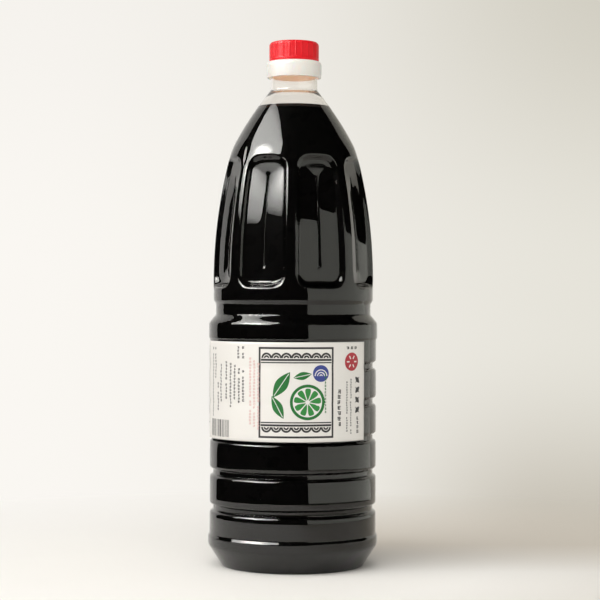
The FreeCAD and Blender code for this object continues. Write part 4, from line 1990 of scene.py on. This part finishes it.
@dataclass
class Studio:
    """The pale floor and backdrop, the lights and the camera."""

    camera_distance: float = 1.099
    camera_height: float = 0.1612
    camera_side: float = 0.0041
    camera_roll: float = -0.2
    lens: float = 108.0
    sensor: float = 36.0
    floor_radius: float = 0.36
    apron_size: float = 6.0
    wall_radius: float = 1.55
    wall_half_angle: float = 55.0
    wall_height: float = 2.4
    floor_colour: Colour = (0.95, 0.93, 0.89)
    # Painted shadow on the lit floor: its tint, and how far across and back it fades in.
    painted_shadow_tint: Colour = (0.75, 0.7, 0.635)
    gloss_reach: Point = (0.05, 0.09)
    lit_reach: float = 0.12
    painted_reach: float = 0.42
    half_view: float = 0.1667
    nearest_painted: float = 0.3
    painted_shadow_side: Point = (-0.01, 0.05)
    painted_shadow_back: Point = (-0.03, 0.09)
    shown_light: Colour = (0.88, 0.855, 0.8)
    dull_light: Colour = (1.0, 0.98, 0.94)
    dull_strength: float = 0.38
    wall_colour: Colour = (0.957, 0.931, 0.889)
    # Painted shade: darker to the right, away from the lamp; a little darker towards the top; darker still
    # at the upper right; and a painted shadow on the floor to the right, below the horizon.
    wall_shades: tuple[Shade, ...] = (
        Shade((0.82, 0.82, 0.78), side=(-1.0, 1.2)),
        Shade((0.96, 0.96, 0.96), rise=(0.1, 1.1)),
        Shade((0.85, 0.84, 0.81), side=(-0.2, 1.1), rise=(0.1, 1.1)),
        Shade((0.6, 0.56, 0.51), side=(0.1, 0.85), rise=(-0.1, -1.05)),
    )

    def painted(self, shader: Shader) -> bpy.types.NodeSocket:
        """The pale colour that the floor and the wall share, so that no edge shows between them, darkened by
        the painted shades of wall_shades.

        Args:
            shader: The material that is being made.

        Returns:
            The colour.
        """
        place = shader.split(shader.place)
        away = shader.maths("ADD", place["Y"], self.camera_distance)
        half = shader.maths("MULTIPLY", shader.maths("MAXIMUM", away, self.nearest_painted), self.half_view)
        side = shader.maths("DIVIDE", place["X"], half)
        rise = shader.maths("DIVIDE", shader.maths("SUBTRACT", place["Z"], self.camera_height), half)
        plain = shader.node("ShaderNodeRGB")
        plain.outputs["Color"].default_value = (*self.wall_colour, 1.0)
        colour = plain.outputs["Color"]
        # Each shade multiplies the colour by its tint: painted shade.
        for shade in self.wall_shades:
            sideways = shader.ranged(side, 0.0, 1.0, *shade.side, Easing.SMOOTH)
            upward = shader.ranged(rise, 0.0, 1.0, *shade.rise, Easing.SMOOTH)
            colour = shader.tinted(colour, shader.maths("MULTIPLY", sideways, upward), shade.tint)
        return colour

    def floor_material(self) -> bpy.types.Material:
        """The floor's card: lit round the bottle, with a painted shadow darkening its colour behind and
        right of the bottle, and of the wall's glowing colour farther off.

        Returns:
            The material.
        """
        shader = Shader("floor_card")
        finish = Finish("floor_card", self.floor_colour, 0.75, mottle=0.015, mottle_size=120.0)
        lit = shader.node("ShaderNodeBsdfPrincipled")
        lit.inputs["Roughness"].default_value = finish.roughness
        place = shader.split(shader.place)
        # Painted shadow: the lit floor's colour is darkened behind and to the right of the bottle, where its
        # shadow falls.
        share = shader.maths("MULTIPLY", shader.ranged(place["X"], 0.0, 1.0, *self.painted_shadow_side),
                             shader.ranged(place["Y"], 0.0, 1.0, *self.painted_shadow_back))
        colour = shader.tinted(finish.base_colour(shader), share, self.painted_shadow_tint)
        shader.link(colour, lit.inputs["Base Color"])
        far = shader.length(shader.place)
        reach = shader.ranged(far, 0.0, 1.0, self.lit_reach, self.painted_reach)
        path = shader.node("ShaderNodeLightPath")
        seen = shader.maths("MAXIMUM", path.outputs["Is Camera Ray"], path.outputs["Is Glossy Ray"])
        seen = shader.maths("MAXIMUM", seen, path.outputs["Is Transmission Ray"])
        near = shader.ranged(far, 0.0, 0.5, *self.gloss_reach)
        reach = shader.maths("MAXIMUM", reach, shader.maths("MULTIPLY", path.outputs["Is Glossy Ray"], near))
        mixed = shader.node("ShaderNodeMixShader")
        shader.link(shader.maths("MULTIPLY", reach, seen), mixed.inputs["Fac"])
        shader.link(lit.outputs["BSDF"], mixed.inputs[1])
        shader.link(shader.emission(self.painted(shader), 1.0), mixed.inputs[2])
        shader.link(mixed.outputs["Shader"], shader.output.inputs["Surface"])
        return shader.material

    def laid(self, name: str, mesh: bmesh.types.BMesh, finish: bpy.types.Material) -> bpy.types.Object:
        """Makes a mesh an object of the studio.

        Args:
            name: Its name.
            mesh: The mesh, which is used up.
            finish: Its material.

        Returns:
            The piece.
        """
        piece = as_object(mesh, name, [finish])
        return piece

    def make_floor(self) -> None:
        """Makes the floor, which runs back to the wall, and a wide apron that reflections don't see."""
        finish = self.floor_material()
        near = bmesh.new()
        bmesh.ops.create_circle(near, cap_ends=True, segments=96, radius=self.floor_radius)
        for vert in near.verts:
            angle = abs(math.degrees(math.atan2(vert.co.x, -vert.co.y)))
            vert.co *= 1 + (self.wall_radius / self.floor_radius - 1) * smooth_step((angle - 124.0) / 5.0)
        self.laid("floor", near, finish).visible_shadow = False
        wide = bmesh.new()
        bmesh.ops.create_grid(wide, x_segments=1, y_segments=1, size=self.apron_size / 2)
        bmesh.ops.translate(wide, vec=(0.0, 0.0, -0.0005), verts=wide.verts[:])
        apron = self.laid("apron", wide, finish)
        apron.visible_glossy = False
        apron.visible_transmission = False

    def make_wall(self) -> None:
        """Makes the curved backdrop, which glows with the pale colour of painted(), its painted shade
        included.
        """
        mesh = bmesh.new()
        verts = [mesh.verts.new((0.0, self.wall_radius, height)) for height in (-0.01, self.wall_height)]
        edge = mesh.edges.new(verts)
        half = math.radians(self.wall_half_angle)
        bmesh.ops.rotate(mesh, verts=verts, cent=ORIGIN, matrix=Matrix.Rotation(-half, 3, "Z"))
        bmesh.ops.spin(mesh, geom=verts + [edge], cent=ORIGIN, axis=UP, angle=2 * half, steps=48)
        shader = Shader("backdrop")
        shader.link(shader.emission(self.painted(shader), 1.0), shader.output.inputs["Surface"])
        wall = self.laid("backdrop", mesh, shader.material)
        wall.visible_diffuse = False
        wall.visible_shadow = False

    def make_world(self) -> None:
        """Makes the world: pale where it is looked at, a low light on dull surfaces, and dark in gloss."""
        world = bpy.data.worlds.new("studio")
        bpy.context.scene.world = world
        world.use_nodes = True
        tree = world.node_tree
        tree.nodes.clear()
        path = tree.nodes.new("ShaderNodeLightPath")
        backgrounds = []
        for colour, strength in ((self.shown_light, 1.0), (self.dull_light, self.dull_strength),
                                 (self.dull_light, 0.0)):
            background = tree.nodes.new("ShaderNodeBackground")
            background.inputs["Color"].default_value = (*colour, 1.0)
            background.inputs["Strength"].default_value = strength
            backgrounds.append(background.outputs["Background"])
        pale, low, dark = backgrounds
        shown = tree.nodes.new("ShaderNodeMath")
        shown.operation = "MAXIMUM"
        tree.links.new(path.outputs["Is Camera Ray"], shown.inputs[0])
        tree.links.new(path.outputs["Is Transmission Ray"], shown.inputs[1])
        first = tree.nodes.new("ShaderNodeMixShader")
        tree.links.new(path.outputs["Is Glossy Ray"], first.inputs["Fac"])
        tree.links.new(low, first.inputs[1])
        tree.links.new(dark, first.inputs[2])
        second = tree.nodes.new("ShaderNodeMixShader")
        tree.links.new(shown.outputs["Value"], second.inputs["Fac"])
        tree.links.new(first.outputs["Shader"], second.inputs[1])
        tree.links.new(pale, second.inputs[2])
        output = tree.nodes.new("ShaderNodeOutputWorld")
        tree.links.new(second.outputs["Shader"], output.inputs["Surface"])

    def make_camera(self) -> None:
        """Makes the camera, level with the middle of the bottle."""
        data = bpy.data.cameras.new("camera")
        data.lens = self.lens
        data.sensor_width = self.sensor
        camera = added("camera", data)
        camera.location = (self.camera_side, -self.camera_distance, self.camera_height)
        camera.rotation_euler = (math.radians(90.0), math.radians(self.camera_roll), 0.0)
        bpy.context.scene.camera = camera

    def build(self) -> None:
        """Makes the whole studio."""
        self.make_camera()
        self.make_floor()
        self.make_wall()
        self.make_world()
        hump = ((0.0, 1.5), (0.05, 4.8), (0.09, 6.0), (0.22, 9.3), (0.56, 8.4), (0.78, 7.6), (0.89, 6.6),
                (1.0, 3.6))
        Softbox("softbox", (1.0, 0.99, 0.95), 1.488, hump, 1.928, -61.0, 38.5, shift=(-0.092, 0.064)).build()
        even = ((0.0, 1.0), (1.0, 1.0))
        CurvedCard("white_board", (1.0, 1.0, 0.9), 0.68, even, distance=1.5, end_height=0.3).build()
        FloorSheet("white_sheet", (1.0, 1.0, 0.9), 0.001, even, distance=1.49).build()
        Lamp("key", -34.0, 49.0, (2.6, 1.7), 28.6, (1.0, 0.985, 0.965)).build()
        Lamp("fill", 75.0, 10.0, (1.4, 1.4), 1.4, (1.0, 0.97, 0.9)).build()
        bpy.context.scene.view_settings.view_transform = "Standard"


def main() -> None:
    """Builds the pieces in order, reports each one and sets up the studio."""
    logging.basicConfig(level=logging.INFO, format="%(message)s")
    bottle = Bottle()
    label = Label(bottle.drum)
    report(bottle.make_shell())
    report(bottle.make_sauce())
    report(label.make_sheet())
    for piece in label.make_print():
        report(piece)
    report(Collar().build())
    report(Lid().build())
    Studio().build()


if __name__ == "__main__":
    main()
